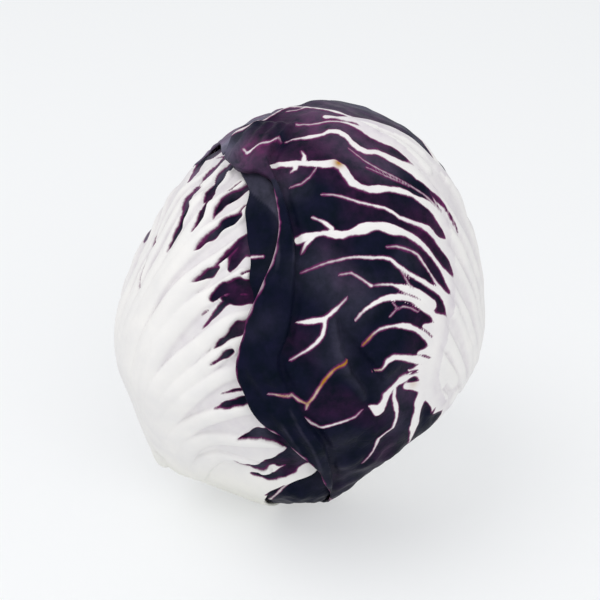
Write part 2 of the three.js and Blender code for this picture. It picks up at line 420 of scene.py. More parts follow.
def puckered(points, edge, seed, fine_seed, least=0.0):
    """Soft puckers of the blade, which settle to their least share at the edge of a vein."""
    waves = waviness(points, 7.5, seed) + 0.5 * waviness(points, 3.6, fine_seed)
    return waves * (least + (1 - least) * smoothstep(0.2, 3.0, edge))


def patches(dirs, spots):
    """A soft sum of round patches, each (lon, lat, radius in degrees, strength)."""
    total = np.zeros(len(dirs))
    for lon, lat, radius, strength in spots:
        away = np.degrees(np.arccos(np.clip(dirs @ direction(lon, lat), -1, 1)))
        total += strength * np.exp(-(away / radius) ** 2)
    return total


def spaced(count, stops=((0, 1), (1, 1))):
    """count + 1 shares from 0 to 1, packed by the (share, density) stops."""
    fine = np.linspace(0, 1, 2001)
    density = np.interp(fine, *np.array(stops, float).T)
    total = np.concatenate([[0], np.cumsum((density[1:] + density[:-1]) / 2)])
    return np.interp(np.linspace(0, total[-1], count + 1), total, fine)


def leaf_veins(leaf, seed, count, base, finest=0.0, sides=(-1, 1)):
    """A midrib of this half-width at its base, with veins that leave it one above the other and
    bend towards the tip, each with its branches. None is narrower than the finest half-width."""
    rng = np.random.default_rng(seed)
    u = np.linspace(0.01, 0.88, 14)
    lines = [(u, 0.01 * rng.normal(size=14), np.linspace(base, 1.0, 14))]
    for side in sides:
        for k in range(count):
            start = max(0.015 + 0.74 * (k + rng.uniform(-0.2, 0.2)) / count, 0.005)
            v = np.linspace(0, 0.96, 9)
            rise = (0.05 + 0.2 * (1 - start)) * v ** 1.25
            wander = np.cumsum(rng.normal(size=9)) * 0.004
            u = np.minimum(start + rise + wander, 0.985)
            thick = (2.6 - 1.7 * start) * rng.uniform(0.7, 1.2)
            widths = thick * (1 - v) ** 0.8 + 0.3
            lines.append((u, side * v, widths))
            for _ in range(BRANCHES):
                at = rng.integers(3, 7)
                ends = np.linspace(0, 1, 6)
                away = rng.choice((-1, 1)) * rng.uniform(0.26, 0.52) / count
                branch_v = v[at] + ends * rng.uniform(0.12, 0.26)
                branch_u = u[at] + away * ends ** 0.8 + 0.05 * ends
                keep = (branch_v < 0.98) & (branch_u < 0.985)
                if keep.sum() > 2:
                    lines.append((branch_u[keep], side * branch_v[keep],
                                  np.linspace(0.7, 0.22, keep.sum())))
    strokes = [stroke(leaf.dirs(u, v), widths) for u, v, widths in lines]
    return [(line, np.maximum(widths, finest)) for line, widths in strokes]


# ---- Meshes ----

def rank(face):
    """A number of its own for each face of a slab, so that the faces keep one order."""
    centre = face.calc_center_median()
    return centre.x + 1e3 * centre.y + 1e6 * centre.z


def slab(columns, rows):
    """A thin closed slab, 2 by 2 by 1: fine squares on top, coarse ones underneath."""
    bm = bmesh.new()
    bmesh.ops.create_grid(bm, x_segments=columns, y_segments=rows, size=1)
    border = [edge for edge in bm.edges if edge.is_boundary]
    rim = bmesh.ops.extrude_edge_only(bm, edges=border)["geom"]
    rim = [item for item in rim if isinstance(item, bmesh.types.BMVert)]
    bmesh.ops.translate(bm, verts=rim, vec=(0, 0, -1))
    under = bmesh.ops.create_grid(
        bm, x_segments=columns // INSIDE_CELLS, y_segments=rows // INSIDE_CELLS, size=1)["verts"]
    bmesh.ops.translate(bm, verts=under, vec=(0, 0, -1))
    border = [edge for vert in under for edge in vert.link_edges if edge.is_boundary]
    border = list(dict.fromkeys(border))
    bmesh.ops.subdivide_edges(bm, edges=border, cuts=INSIDE_CELLS - 1)
    seam = [v for v in bm.verts if v.co.z < -0.5 and max(abs(v.co.x), abs(v.co.y)) > 0.9999]
    bmesh.ops.remove_doubles(bm, verts=seam, dist=1e-4)
    bmesh.ops.triangulate(bm, faces=[face for face in bm.faces if len(face.verts) > 4])
    bmesh.ops.recalc_face_normals(bm, faces=bm.faces)
    bm.faces.sort(key=rank)
    return bm


def finish_piece(bm, name, material, points, attributes):
    """Writes a bmesh to an object in metres, smooth, with its attributes and material."""
    mesh = bpy.data.meshes.new(name)
    bm.to_mesh(mesh)
    bm.free()
    mesh.vertices.foreach_set("co", (points * MM).astype(np.float32).ravel())
    mesh.polygons.foreach_set("use_smooth", np.ones(len(mesh.polygons), bool))
    for key, values in attributes.items():
        layer = mesh.attributes.new(key, "FLOAT", "POINT")
        layer.data.foreach_set("value", np.asarray(values, np.float32))
    mesh.materials.append(material)
    mesh.update()
    piece = bpy.data.objects.new(name, mesh)
    bpy.context.scene.collection.objects.link(piece)
    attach(piece, "root")
    return piece


def leaf_piece(name, leaf, across, up, surface, material, frayed=0.0):
    """A leaf as a closed sheet. surface(points, u) gives its relief in mm and its attributes.

    across and up are the spacing of its cells, and frayed is how far its margins waver.
    """
    columns, rows = len(across) - 1, len(up) - 1
    bm = slab(columns, rows)
    flat = np.array([vert.co[:] for vert in bm.verts])
    v = np.interp(flat[:, 0], np.linspace(-1, 1, columns + 1), across * 2 - 1)
    u = np.interp(flat[:, 1], np.linspace(-1, 1, rows + 1), up)
    wall = -flat[:, 2]
    ripple = (np.sin(61 * u) + np.sin(37 * u + 1) + np.sin(113 * u + 2) + 3) / 6
    v = v * (1 - frayed * ripple)
    dirs = leaf.dirs(u, v)
    relief, attributes = surface(on_head(dirs, 0), u)
    deepest = DEEPEST_SHARE * leaf.thickness
    relief = np.where(relief < 0, deepest * np.tanh(relief / deepest), relief)
    relief = relief - wall * np.clip(relief, 0, SOLID_RELIEF)
    points = leaf.place(u, v, dirs, relief, wall)
    points[:, 2] = np.maximum(points[:, 2], FOOT_CLEARANCE + INSIDE_ABOVE * wall)
    return finish_piece(bm, name, material, points, attributes)


# ---- Leaves on the head ----

RIGHT_MARGIN = [(18, -48), (8, -21), (-2, -7), (-12, 3), (-17, 14), (-16, 28), (-10, 42),
                (-6, 52), (-9, 62), (-15, 67), (-36, 68), (-58, 70)]


def even_depth(depth):
    """A depth function that gives the same depth all over a leaf."""
    return lambda lon, lat: depth + 0.0 * lon


def right_wrapper_leaf():
    """The outermost leaf: its left margin is the seam down the front."""
    return Leaf(
        (25, RIGHT_MARGIN),
        (85, [(82, -42), (85, 0), (86, 40), (82, 66), (50, 82), (-72, 75)]),
        (145, [(150, -42), (155, 0), (156, 40), (152, 64), (140, 79), (-80, 85)]),
        even_depth(0.0), OUTER_THICKNESS, rib=1.4)


def under_right_leaf():
    """The dark leaf of which a strip shows beside the upper seam."""
    return Leaf(
        (46, [(32, -42), (8, -16), (-7, 6), (-13, 28), (-17, 44),
              (-20.5, 51), (-24, 58), (-25.5, 63), (-31, 66.5), (-48, 70.5)]),
        (66, [(60, -30), (50, 10), (42, 40), (25, 60), (-8, 72)]),
        (98, [(98, -30), (96, 10), (90, 40), (68, 60), (12, 72)]),
        even_depth(OUTER_PITCH), OUTER_THICKNESS)


def left_wrapper_leaf():
    """Outermost at the left, tucked under the others at the front, back and crown."""
    def depth(lon, lat):
        seam = smoothstep(-50, -30, lon) * smoothstep(-46, -28, lat)
        round_back = smoothstep(66, 78, apart(lon, -40)) * ((lon < -60) | (lon > 90))
        tucked = np.maximum(np.maximum(seam, round_back), smoothstep(55, 67, lat))
        return 0.2 + 2 * OUTER_PITCH * tucked

    return Leaf(
        (-138, [(-146, -40), (-154, 0), (-154, 36), (-146, 60), (-104, 80)]),
        (-70, [(-66, -36), (-70, -8), (-74, 22), (-72, 48), (-50, 77)]),
        (-16, [(-14, -47), (-9, -41), (0, -36), (9, -31.5), (12, -22), (11, 2), (6, 32), (0, 58),
               (-8, 77)]),
        depth, OUTER_THICKNESS, rib=1.6)


def back_wrapper_leaf():
    """Outermost at the back, its tip over the crown."""
    def depth(lon, lat):
        showing = smoothstep(78, 104, apart(lon, 90)) * (1 - smoothstep(50, 66, lat))
        return OUTER_PITCH * (1 - 0.9 * showing)

    return Leaf(
        (125, [(120, -40), (118, 0), (116, 38), (112, 60), (96, 76), (-20, 86)]),
        (180, [(180, -40), (180, 0), (180, 42), (184, 68), (236, 82), (292, 77)]),
        (232, [(237, -36), (240, -4), (240, 14), (238, 34), (235, 50), (237, 62), (252, 69),
               (284, 71)]),
        depth, OUTER_THICKNESS, rib=1.3)


def under_front_leaf():
    """Inside both wrappers, and out in front only below the seam."""
    def depth(lon, lat):
        below = 1 - smoothstep(-46, -28, lat)
        showing = below * smoothstep(-44, -26, lon) * (1 - smoothstep(18, 32, lon))
        return 0.2 + OUTER_PITCH * (3 - 2.1 * showing)

    return Leaf(
        (-48, [(-54, -30), (-58, 4), (-54, 40), (-34, 66)]),
        (0, [(0, -40), (0, 0), (0, 40), (0, 71)]),
        (48, [(52, -30), (56, 4), (52, 40), (34, 66)]),
        depth, OUTER_THICKNESS)


def inner_leaf(index):
    """One of the leaves cupped round the heart, each turned on from the one before."""
    lon = INNER_FIRST_LON + LEAF_TURN * index
    span = INNER_HALF_SPAN
    return Leaf(
        (lon - 42, [(lon - span, 0), (lon - span, 40), (lon - 96, 74)]),
        (lon, [(lon, 0), (lon, 45), (lon, 80), (lon + 180, 76)]),
        (lon + 42, [(lon + span, 0), (lon + span, 40), (lon + 96, 74)]),
        even_depth(INNER_START + INNER_PITCH * index), INNER_THICKNESS)


# Veins of the right wrapper leaf: half-widths in mm from the first point on, then the path
RIGHT_VEINS = (
    # along the crown
    ((0.2, 0.3, 0.5, 0.6, 0.7, 0.8, 1.0, 1.4), [
        (-60, 88.5), (60, 88.3), (90, 87), (82, 84), (81, 81), (76, 77.5), (72, 75), (71, 71)]),
    ((0.15, 0.2, 0.25, 0.5, 0.9, 1.4, 2.0, 2.4), [
        (-2, 83.5), (12, 82.5), (29, 81), (53, 79.5), (64, 76), (66, 72), (72, 67), (75.5, 62),
        (77, 56)]),
    ((0.1, 0.3, 0.3, 0.1), [(82.5, 73), (82.5, 68.5), (86, 65.5), (89, 64)]),
    ((0.2, 0.6, 0.8, 0.8, 1.0, 0.9, 1.0, 1.4, 2.3, 3.0, 3.4), [
        (-7, 77.5), (9, 77.3), (18, 77.5), (27, 77), (40, 77), (46, 76), (48.5, 74.5),
        (47, 72.5), (47.5, 70.5), (50, 68.5), (56, 66.5), (63, 61.5), (67, 57), (70, 51),
        (72, 46), (77, 30), (81, 10), (84, -10)]),
    ((0.1, 0.15, 0.15, 0.15, 0.2, 0.6), [
        (42, 71), (46, 66), (52.5, 61.5), (60, 56), (64, 52), (67, 47), (69, 43), (73, 34)]),
    ((0.1, 0.15, 0.1), [(44, 65), (52, 60.5), (58.5, 56.5)]),
    ((0.6, 0.8, 1.2, 1.1, 0.9, 0.95, 0.95, 1.0, 1.2, 1.8, 2.6, 3.4, 3.8), [
        (-16, 70.6), (-6, 70.5), (3, 70.6), (12, 70), (20, 69.3), (28.7, 68.5), (30.3, 65.9),
        (32, 62.6), (37, 60.6), (47, 58.5), (55, 55.5), (61, 51), (64, 47), (66, 44), (70, 34),
        (75, 18), (80, 0)]),
    ((0.8, 0.5, 0.12), [(8, 71.2), (8.5, 72.4), (7, 73.6)]),
    ((0.9, 0.6, 0.15), [(2, 70.4), (1.5, 69.2), (-1, 68.6)]),
    ((0.1, 0.15, 0.1), [(-1, 64.8), (3, 65), (9, 66.5), (14, 68.5)]),
    # across the front, from the strip to the right side
    ((0.1, 0.3, 0.45, 0.5, 0.65, 0.85, 0.75, 0.8, 1.2, 2.2, 3.0, 3.4), [
        (15, 62), (20, 61.5), (25, 60.3), (31, 58.3), (37, 56.5), (42.5, 54.5), (46, 51.5),
        (50.5, 49.3), (55.5, 46.5), (59, 42), (62.5, 37.8), (67, 28), (72, 14), (78, -4)]),
    ((0.9, 0.8, 1.3, 1.1, 0.8, 0.6, 0.6, 1.0, 1.6, 2.4, 3.2, 3.6), [
        (1.5, 52), (7, 52.8), (12.5, 53), (20.5, 52), (26.5, 52.5), (32, 52.3), (38, 51),
        (43, 49), (47.5, 46.3), (51.5, 42.8), (55, 37), (60, 27), (66, 14), (72, 0),
        (78, -16)]),
    ((0.2, 0.4, 0.6), [(9, 57), (12.5, 56), (16, 54)]),
    ((0.15, 0.4, 0.5), [(3.5, 49.2), (5, 50.8), (8, 52.3)]),
    ((0.12, 0.25, 0.3, 0.3, 0.6, 1.2), [
        (36.5, 46.5), (40.5, 45.7), (44, 44), (47.5, 41.8), (49, 39), (50.5, 36), (53, 31),
        (58, 22)]),
    ((0.05, 0.2, 0.3, 0.45, 0.55, 0.65, 0.75, 0.75, 0.9, 1.4, 2.4, 3.2), [
        (3, 44.3), (8, 45.3), (11.5, 46), (16, 46.3), (20, 46.5), (25, 46), (29.5, 45),
        (35.5, 43.8), (37.5, 42), (40, 40), (43, 37.5), (46, 35.5), (49.5, 32.5), (53, 29.5),
        (58, 22), (64, 10), (71, -8)]),
    ((0.1, 0.18, 0.2, 0.35), [(16.5, 42.8), (20, 43), (23.5, 41.3), (25.5, 39.5), (27, 38.5)]),
    ((0.1, 0.15, 0.3), [(39, 40), (40.5, 37), (42, 34.5), (45.5, 32)]),
    ((0.05, 0.45, 0.8, 1.0, 1.1, 1.3, 2.0, 2.8, 3.4), [
        (17.5, 28.5), (21.5, 32), (27, 34), (32, 34.5), (39, 32.5), (45.5, 28), (49, 23),
        (53, 16), (59, 5), (67, -8)]),
    ((0.1, 0.45, 0.8, 1.1, 1.6), [(28, 38.5), (34, 37.5), (38.5, 35.5), (43, 33), (48, 28)]),
    ((0.1, 0.15, 0.15, 0.1), [(31.5, 29.5), (35, 31), (38.5, 30.5), (42, 28)]),
    ((0.1, 0.12), [(33.5, 32.5), (35, 30.8)]),
    ((0.1, 0.3, 0.5, 0.9, 1.0, 1.3, 2.0, 3.0), [
        (20, 22.5), (23, 25.3), (26, 26.8), (29.5, 27), (34.5, 26.3), (39, 24.3), (42.5, 21.3),
        (46, 17), (50, 10), (57, 0)]),
    ((0.1, 0.8, 1.0, 1.1, 1.4, 2.0, 2.8), [
        (24, 14), (26, 15.7), (28.5, 18.2), (33, 17.5), (38.5, 15), (45, 11.8), (50, 7), (56, 0)]),
    ((0.4, 1.9, 1.7, 1.0), [(23.5, 3.8), (25.5, 2.4), (27, 3), (28, 5)]),
    ((1.3, 0.9, 1.1, 1.5, 2.2, 2.8, 3.4), [
        (27.2, 3.4), (29, 6.8), (32, 9.2), (36.5, 10.2), (41.5, 9.5), (50, 3)]),
    ((1.0, 2.2, 3.0), [(35.5, 7.5), (40, 6), (46, 1.5), (52, -4)]),
    ((0.6, 0.6, 0.5, 0.45, 0.35, 0.3, 0.1), [
        (31.5, 8), (31.2, 4.8), (32.5, 0.7), (32.4, -3), (31.5, -7), (28, -8.6), (27, -15.4),
        (24.5, -21.3)]),
    ((1.6, 1.5, 1.4, 1.0, 0.3), [(43, 5), (40.5, 1), (40.3, -5), (40.8, -12.5), (43, -19)]),
    ((0.5, 2.5, 3.5), [(43.5, 23.5), (48, 21), (53, 14)]),
    ((0.4, 2.2, 3.6), [(40.3, 16.5), (44.5, 15.5), (50, 9)]),
    ((0.4, 1.2, 2.4), [(37, 12), (40, 12), (45, 9.5)]),
    ((2.6, 1.6, 0.9, 0.2), [(60, -6), (58, -14), (56, -20), (52, -27)]),
    # between the strip and the groove
    ((0.15, 0.35, 0.4, 0.5, 0.55, 0.55, 0.35, 0.12), [
        (-0.5, 21), (3, 23), (6.5, 25), (9, 27.3), (10, 29.5), (9.8, 31.7), (11.8, 33),
        (14.5, 34.5), (18, 36.8)]),
    ((0.4, 0.5, 0.7), [(1.5, 31.5), (5, 31.5), (9.5, 31.9)]),
    ((0.2, 0.25, 0.3, 0.35, 0.4, 0.35, 0.15), [
        (-3, 10.5), (-0.9, 10.2), (1.6, 8), (4.4, 6.9), (7.2, 11), (9.7, 14.7), (14.3, 18.7),
        (17.8, 20.2), (18.2, 23)]),
    ((0.35, 0.15), [(4.4, 6.9), (4, 5)]),
    ((0.1, 0.25, 0.35, 0.35, 0.25, 0.08), [
        (3.5, 2), (6.7, -1), (8.5, -1.5), (11.5, -0.6), (16, 0.3), (18.5, 0.8), (21, 3)]),
)
# Veins on the twisted fold at the crown, and the pale line of its upper margin
FOLD_VEINS = (
    ((0.1, 0.25, 0.3), [(-7, 10.6), (-3.5, 10.4), (-0.5, 10)]),
    ((0.1, 0.35, 0.45, 0.4, 0.3, 0.3, 0.25, 0.1), [
        (-43, 72.8), (-37, 71.9), (-33, 71.5), (-33, 72.8), (-32, 74), (-28, 74.3),
        (-21, 75.5), (-13, 77.2)]),
    ((0.2, 0.35, 0.35, 0.4, 0.4), [
        (-66, 71.5), (-72, 73.5), (-69, 76), (-67.5, 80), (-76, 85), (-150, 88), (90, 87)]),
)
# Thin dark clefts left open where the ribs run together
RIGHT_CLEFTS = (
    ((1.1, 0.8, 0.35, 0.1), [(62, 56.5), (67, 52.5), (71, 44.5), (72, 39.5)]),
    ((0.1, 0.7, 1.0, 1.1, 1.0), [(39.5, 4), (38.6, 2.8), (37, 0.6), (35.6, -3.7), (35, -10)]),
    ((0.1, 0.6, 0.7, 0.5), [(48, -5), (47, -8.5), (45.8, -11.6), (44.5, -16)]),
)

# Where the blade is flushed with magenta, as (lon, lat, degrees, strength)
# The negative patch right of the fold at the crown is painted shade: it takes the magenta out
RIGHT_FLUSH_AND_SHADE = ((12, 80, 8, 0.12), (-36, 74, 5, 0.9), (-13, 77, 4, -0.4), (45, 76, 10, 0.15),
               (60, 50, 12, 0.15), (60, 20, 14, 0.2), (70, 80, 10, 0.3))
# The same for the back wrapper leaf, where the patch also paints a grey-violet sheen
BACK_FLUSH_AND_SHEEN = ((-120, 58, 12, 0.5),)
# Painted grey-violet sheen on folds, and yellowed lengths of vein, as (lon, lat, degrees, strength)
RIGHT_PAINTED_SHEEN = ((-55, 71, 5, 0.45), (-38, 69, 4, 0.2), (-25, 70, 4, 0.15), (130, 72, 22, 0.35))
AMBER = ((29, 68.4, 1.2, 1.0), (20.5, 23.5, 2.4, 1.2), (23.5, 25.5, 1.6, 0.7), (-3, 10, 3, 0.8),
         (4, 8, 3, 0.9), (9, 14, 4, 1.0), (15, 19, 4, 1.2), (25, 15, 1.5, 0.7),
         (38, 7.5, 1.5, 0.3))

# Up the leaf under the right wrapper, the edge of its turned-up part
FLAP_EDGE = [(-46, 69.5), (-31, 66), (-22, 63.5), (-13, 61), (-7, 58)]
# The crease in the fold; the right edge of the raised strip and fold, the deep groove with the
# ridge beside it, and the two lines between which the ribs have run together, from the bottom up
FOLD_CREASE = [(-53, 74), (-50, 72.7), (-46, 71.3), (-38, 69.6), (-34, 69)]
STRIP_EDGE = [(17, -44), (14.5, -29), (9, -7.5), (3, 2.5), (-2, 13), (-4.5, 20), (-1.5, 29),
              (0, 37), (1, 46), (0.5, 51.5), (-1, 56), (-7.5, 65), (-14, 69), (-18, 71.5),
              (-16, 75), (-10, 78.5), (-2, 82), (8, 84)]
GROOVE = [(25.5, 4), (25, 9), (20, 18), (18, 24), (17, 30), (17, 36)]
RIDGE = [(29, 8.5), (26, 15), (20.5, 23), (16.5, 28.5), (15, 34)]
WHITE_FRONT = [(80, -50), (76, -34), (72, -22), (66, -14), (58, -9), (51, -3), (48, 4), (50, 12),
               (54, 19), (58, 26), (62, 33), (66, 40), (70, 46), (72.5, 52), (73.5, 57), (73.5, 61),
               (72.5, 66), (71, 70), (70, 74), (75, 77), (88, 81)]
WHITE_BACK = [(122, -44), (114, -10), (106, 10), (98, 30), (91, 44), (85, 52.5), (83, 58.5),
              (82, 63), (78, 68), (76, 72.5), (72, 75.5), (60, 78), (20, 80)]

# On the left wrapper leaf, the line to whose left the blade opens between the ribs
LEFT_WHITE = [(-84, -54), (-90, -22), (-97, 8), (-102, 34), (-107, 50), (-109, 60), (-100, 72)]
# Dark wedges of the left wrapper leaf, each from the seam outwards
LEFT_WEDGES = (
    ((1.8, 1.9, 1.6, 0.4), [(-114, 62.5), (-111, 61.3), (-102, 60.3), (-88, 58)]),
    ((0.3, 0.3, 0.1), [(-84, 71.5), (-92, 69.5), (-97, 68)]),
    ((1.4, 1.4, 1.4, 0.9, 0.1), [
        (-80.5, 71), (-79.5, 68.5), (-75.5, 65.5), (-70, 62), (-65.5, 58.5)]),
    ((1.6, 2.0, 1.9, 1.3, 0.1), [(-59, 70.5), (-59.5, 67.5), (-55.5, 64), (-52.5, 61), (-51, 58)]),
    ((0.4, 0.5, 0.1), [(-37, 67.5), (-40, 65), (-42, 63)]),
    ((0.9, 1.3, 1.2, 0.8, 0.1), [(-30, 67), (-35, 64), (-38, 61.5), (-40, 58.5), (-40.5, 55.5)]),
    ((0.35, 0.3), [(-26.5, 62), (-28.5, 59.5)]),
    ((0.9, 1.3, 1.3, 0.9, 0.1), [(-28, 59), (-32, 56.5), (-35.5, 54), (-38, 51), (-42, 46)]),
    ((0.7, 1.3, 1.5, 1.3, 0.8, 0.1), [
        (-66, 61), (-64, 56.5), (-60, 54), (-56.5, 51.5), (-56, 47.5), (-56, 42)]),
    ((0.6, 1.0, 0.8, 0.1), [(-51, 61), (-48, 57.5), (-46, 54), (-46.5, 50)]),
    ((0.4, 1.0, 0.9, 0.1), [(-93, 54), (-86, 49), (-79, 43.5), (-72, 38)]),
    ((0.9, 1.0, 0.9, 0.6, 0.1), [(-19.5, 55), (-24, 52), (-28, 48.5), (-31, 46), (-33, 44)]),
    ((2.4, 2.3, 1.2), [(-19, 51.5), (-24, 48), (-26.5, 45)]),
    ((0.5, 1.1, 0.9, 0.1), [(-31, 44.5), (-33.5, 43), (-36, 40.5), (-39, 38)]),
    ((0.5, 0.4), [(-17, 45.3), (-20, 44)]),
    ((2.2, 2.5, 1.9, 0.8), [(-13, 41), (-22, 40), (-28, 38), (-30.5, 35.5)]),
    ((2.2, 2.0, 1.2), [(-13, 38), (-20, 37), (-26, 36.5)]),
    ((1.6, 0.9, 0.6, 0.1), [(-24, 37), (-27, 33.5), (-30, 29.5), (-33, 25.5)]),
    ((0.2, 0.3, 0.2), [(-31.5, 32), (-32.5, 31), (-33.5, 30)]),
    ((1.4, 1.5, 1.2, 0.2), [(-15, 30.5), (-19, 28.5), (-22.5, 25.5), (-27, 21)]),
    ((0.8, 1.0, 0.2), [(-20.5, 21.5), (-24.5, 18), (-27.5, 15.5)]),
    ((0.5, 0.45, 0.15), [(-15, 9.7), (-20, 7.7), (-24.5, 5.5)]),
    ((1.8, 1.5, 0.9, 0.1), [(-12, 6), (-17, 4.5), (-21, 2.8), (-27, -0.5)]),
    ((0.1, 0.3, 0.1), [(-67, 36), (-66, 30), (-62.5, 26)]),
    ((0.1, 0.3, 0.1), [(-78, 42), (-72, 39.5), (-67, 36)]),
    ((0.2, 1.5, 2.8, 2.6, 1.8), [(-19, -11.5), (-14, -9), (-10, -7), (-5, -10), (1, -15)]),
    ((1.5, 2.8, 3.2, 3.0), [(-6, -27.5), (1, -22), (7, -22.5), (14, -24)]),
    ((0.3, 1.4, 1.9, 2.3, 2.6), [(-23, -26), (-18.5, -28), (-12.5, -28.5), (-6, -24), (0, -18.5)]),
    ((0.4, 1.4, 1.9, 2.2, 2.4), [(-18, -34.5), (-11, -34.5), (-4.5, -32.5), (0, -28), (4, -24)]),
    ((0.3, 0.7, 0.4), [(-13, -44), (-9, -41.5), (-4, -38.5)]),
)
# Its white ribs, each from the seam or the crown down to the root
LEFT_RIBS = (
    ((0.8, 1.4, 2.2, 2.6), [
        (-36, 67), (-42, 60), (-47, 52), (-52, 40), (-57, 24), (-60, 4), (-60, -16), (-58, -30)]),
    ((0.8, 1.6, 2.2, 2.6), [
        (-24, 61), (-33, 56), (-40, 51), (-47, 42), (-54, 28), (-58, 8), (-59, -12), (-57, -30)]),
    ((0.9, 1.6, 2.2, 2.6), [
        (-20, 53), (-28, 48.5), (-35, 43), (-42, 34), (-49, 20), (-54, 3), (-56, -14),
        (-56, -30)]),
    ((0.9, 1.5, 2.0, 2.4), [
        (-20, 43.5), (-27, 39.5), (-34, 34), (-41, 25), (-47, 12), (-52, -3), (-55, -18),
        (-55, -32)]),
    ((0.9, 1.5, 2.0, 2.4), [
        (-13, 33), (-20, 31), (-28, 25), (-36, 16), (-44, 4), (-50, -9), (-54, -22), (-54, -34)]),
    ((0.9, 1.5, 1.9, 2.2), [
        (-14, 26), (-22, 21.8), (-30, 14), (-38, 5), (-45, -5), (-51, -16), (-53, -27),
        (-53, -36)]),
    ((0.9, 1.5, 1.9, 2.2), [
        (-16, 16), (-24, 12), (-32, 5), (-40, -4), (-47, -14), (-51, -24), (-52, -36)]),
    ((0.9, 1.4, 1.8, 2.0), [
        (-10, 3.5), (-18, 1.5), (-27, -3.5), (-36, -10), (-44, -18), (-49, -27), (-51, -38)]),
    ((0.9, 1.4, 1.8, 2.0), [
        (-1, -12), (-9, -12), (-18, -12.5), (-28, -15), (-38, -20), (-45, -28), (-50, -38)]),
    ((0.9, 1.4, 1.8, 2.0), [(-12, -31), (-18, -27), (-30, -27), (-40, -33), (-47, -40)]),
    ((0.8, 1.2, 2.0, 2.6), [
        (-54, 68), (-56, 60), (-57, 50), (-59, 36), (-62, 18), (-63, -2), (-61, -20)]),
    ((0.8, 1.2, 2.0, 2.6), [(-66, 68), (-67, 56), (-67, 42), (-67, 24), (-66, 4), (-63, -16)]),
    ((0.8, 1.2, 2.0, 2.6), [(-80, 66), (-79, 52), (-76, 34), (-73, 14), (-69, -8), (-64, -26)]),
    ((0.8, 1.2, 2.0, 2.6), [(-94, 58), (-91, 44), (-87, 28), (-81, 8), (-74, -12), (-66, -30)]),
    ((0.8, 1.2, 2.0, 2.6), [(-106, 40), (-101, 26), (-95, 10), (-86, -8), (-76, -24), (-68, -38)]),
)


# ---- Surfaces of the leaves ----

STRIP_DROP = 1.2  # just beside the folded strip
LIP_HEIGHT = 1.6  # to the left of the groove
RIDGE_STEP = 2.8  # by which the leaf rises to the right of the ridge
CREASE_DEPTH = 1.0  # in the fold at the crown


def run_together(points):
    """Distance outside the place where the ribs of the right wrapper have run together."""
    front, _, front_side, _ = to_line(points, *stroke(WHITE_FRONT))
    back, _, back_side, _ = to_line(points, *stroke(WHITE_BACK))
    outside = np.maximum(-front * front_side, back * back_side)
    return outside + 0.5 * waviness(points, 9.0, 9)


def folded_strip(points):
    """The strip folded back beside the free margin: where it is, its height, the tops of its
    pleats and the drop beside it, each as a share."""
    away, _, side, share = to_line(points, *stroke(STRIP_EDGE))
    fade = fade_ends(share, 0.12, 0.02)
    strip = smoothstep(0.3, -0.5, away * side) * smoothstep(30, 20, away)
    strip = strip * smoothstep(1.0, 0.97, share)
    # Highest at its edge, with pleats that run along it
    pleats = np.sin(away * 1.5 + 2.2 * waviness(points, 26, 12))
    height = 1 - 0.5 * smoothstep(2, 12, away)
    height = height * (0.9 + 0.25 * waviness(points, 14, 3)) + 0.13 * pleats
    tops = strip * smoothstep(0.5, 1.0, pleats) * smoothstep(0, 0.8, waviness(points, 11, 16))
    drop = np.exp(-((away - 0.9) / 1.1) ** 2) * (side > 0) * fade
    return strip, fade * height, tops, drop


def groove_and_lip(points):
    """The groove in the front of the right wrapper and the lip beside it, each as a share."""
    away, _, side, share = to_line(points, *stroke(GROOVE))
    dip = np.exp(-(away / 2.8) ** 2) * fade_ends(share, 0.15, 0.2)
    lip = np.exp(-((away * side + 3.4) / 1.5) ** 2) * fade_ends(share, 0.15, 0.15)
    return dip, lip


def ridge_and_crease(points):
    """The step at the ridge and the crease in the fold at the crown, each as a share."""
    away, _, side, share = to_line(points, *stroke(RIDGE))
    step = smoothstep(-0.8, 0.4, away * side) * np.exp(-(away / 9) ** 2)
    step = step * fade_ends(share, 0.2, 0.2)
    away, _, _, share = to_line(points, *stroke(FOLD_CREASE))
    return step, np.exp(-(away / 0.8) ** 2) * smoothstep(0, 0.2, share)


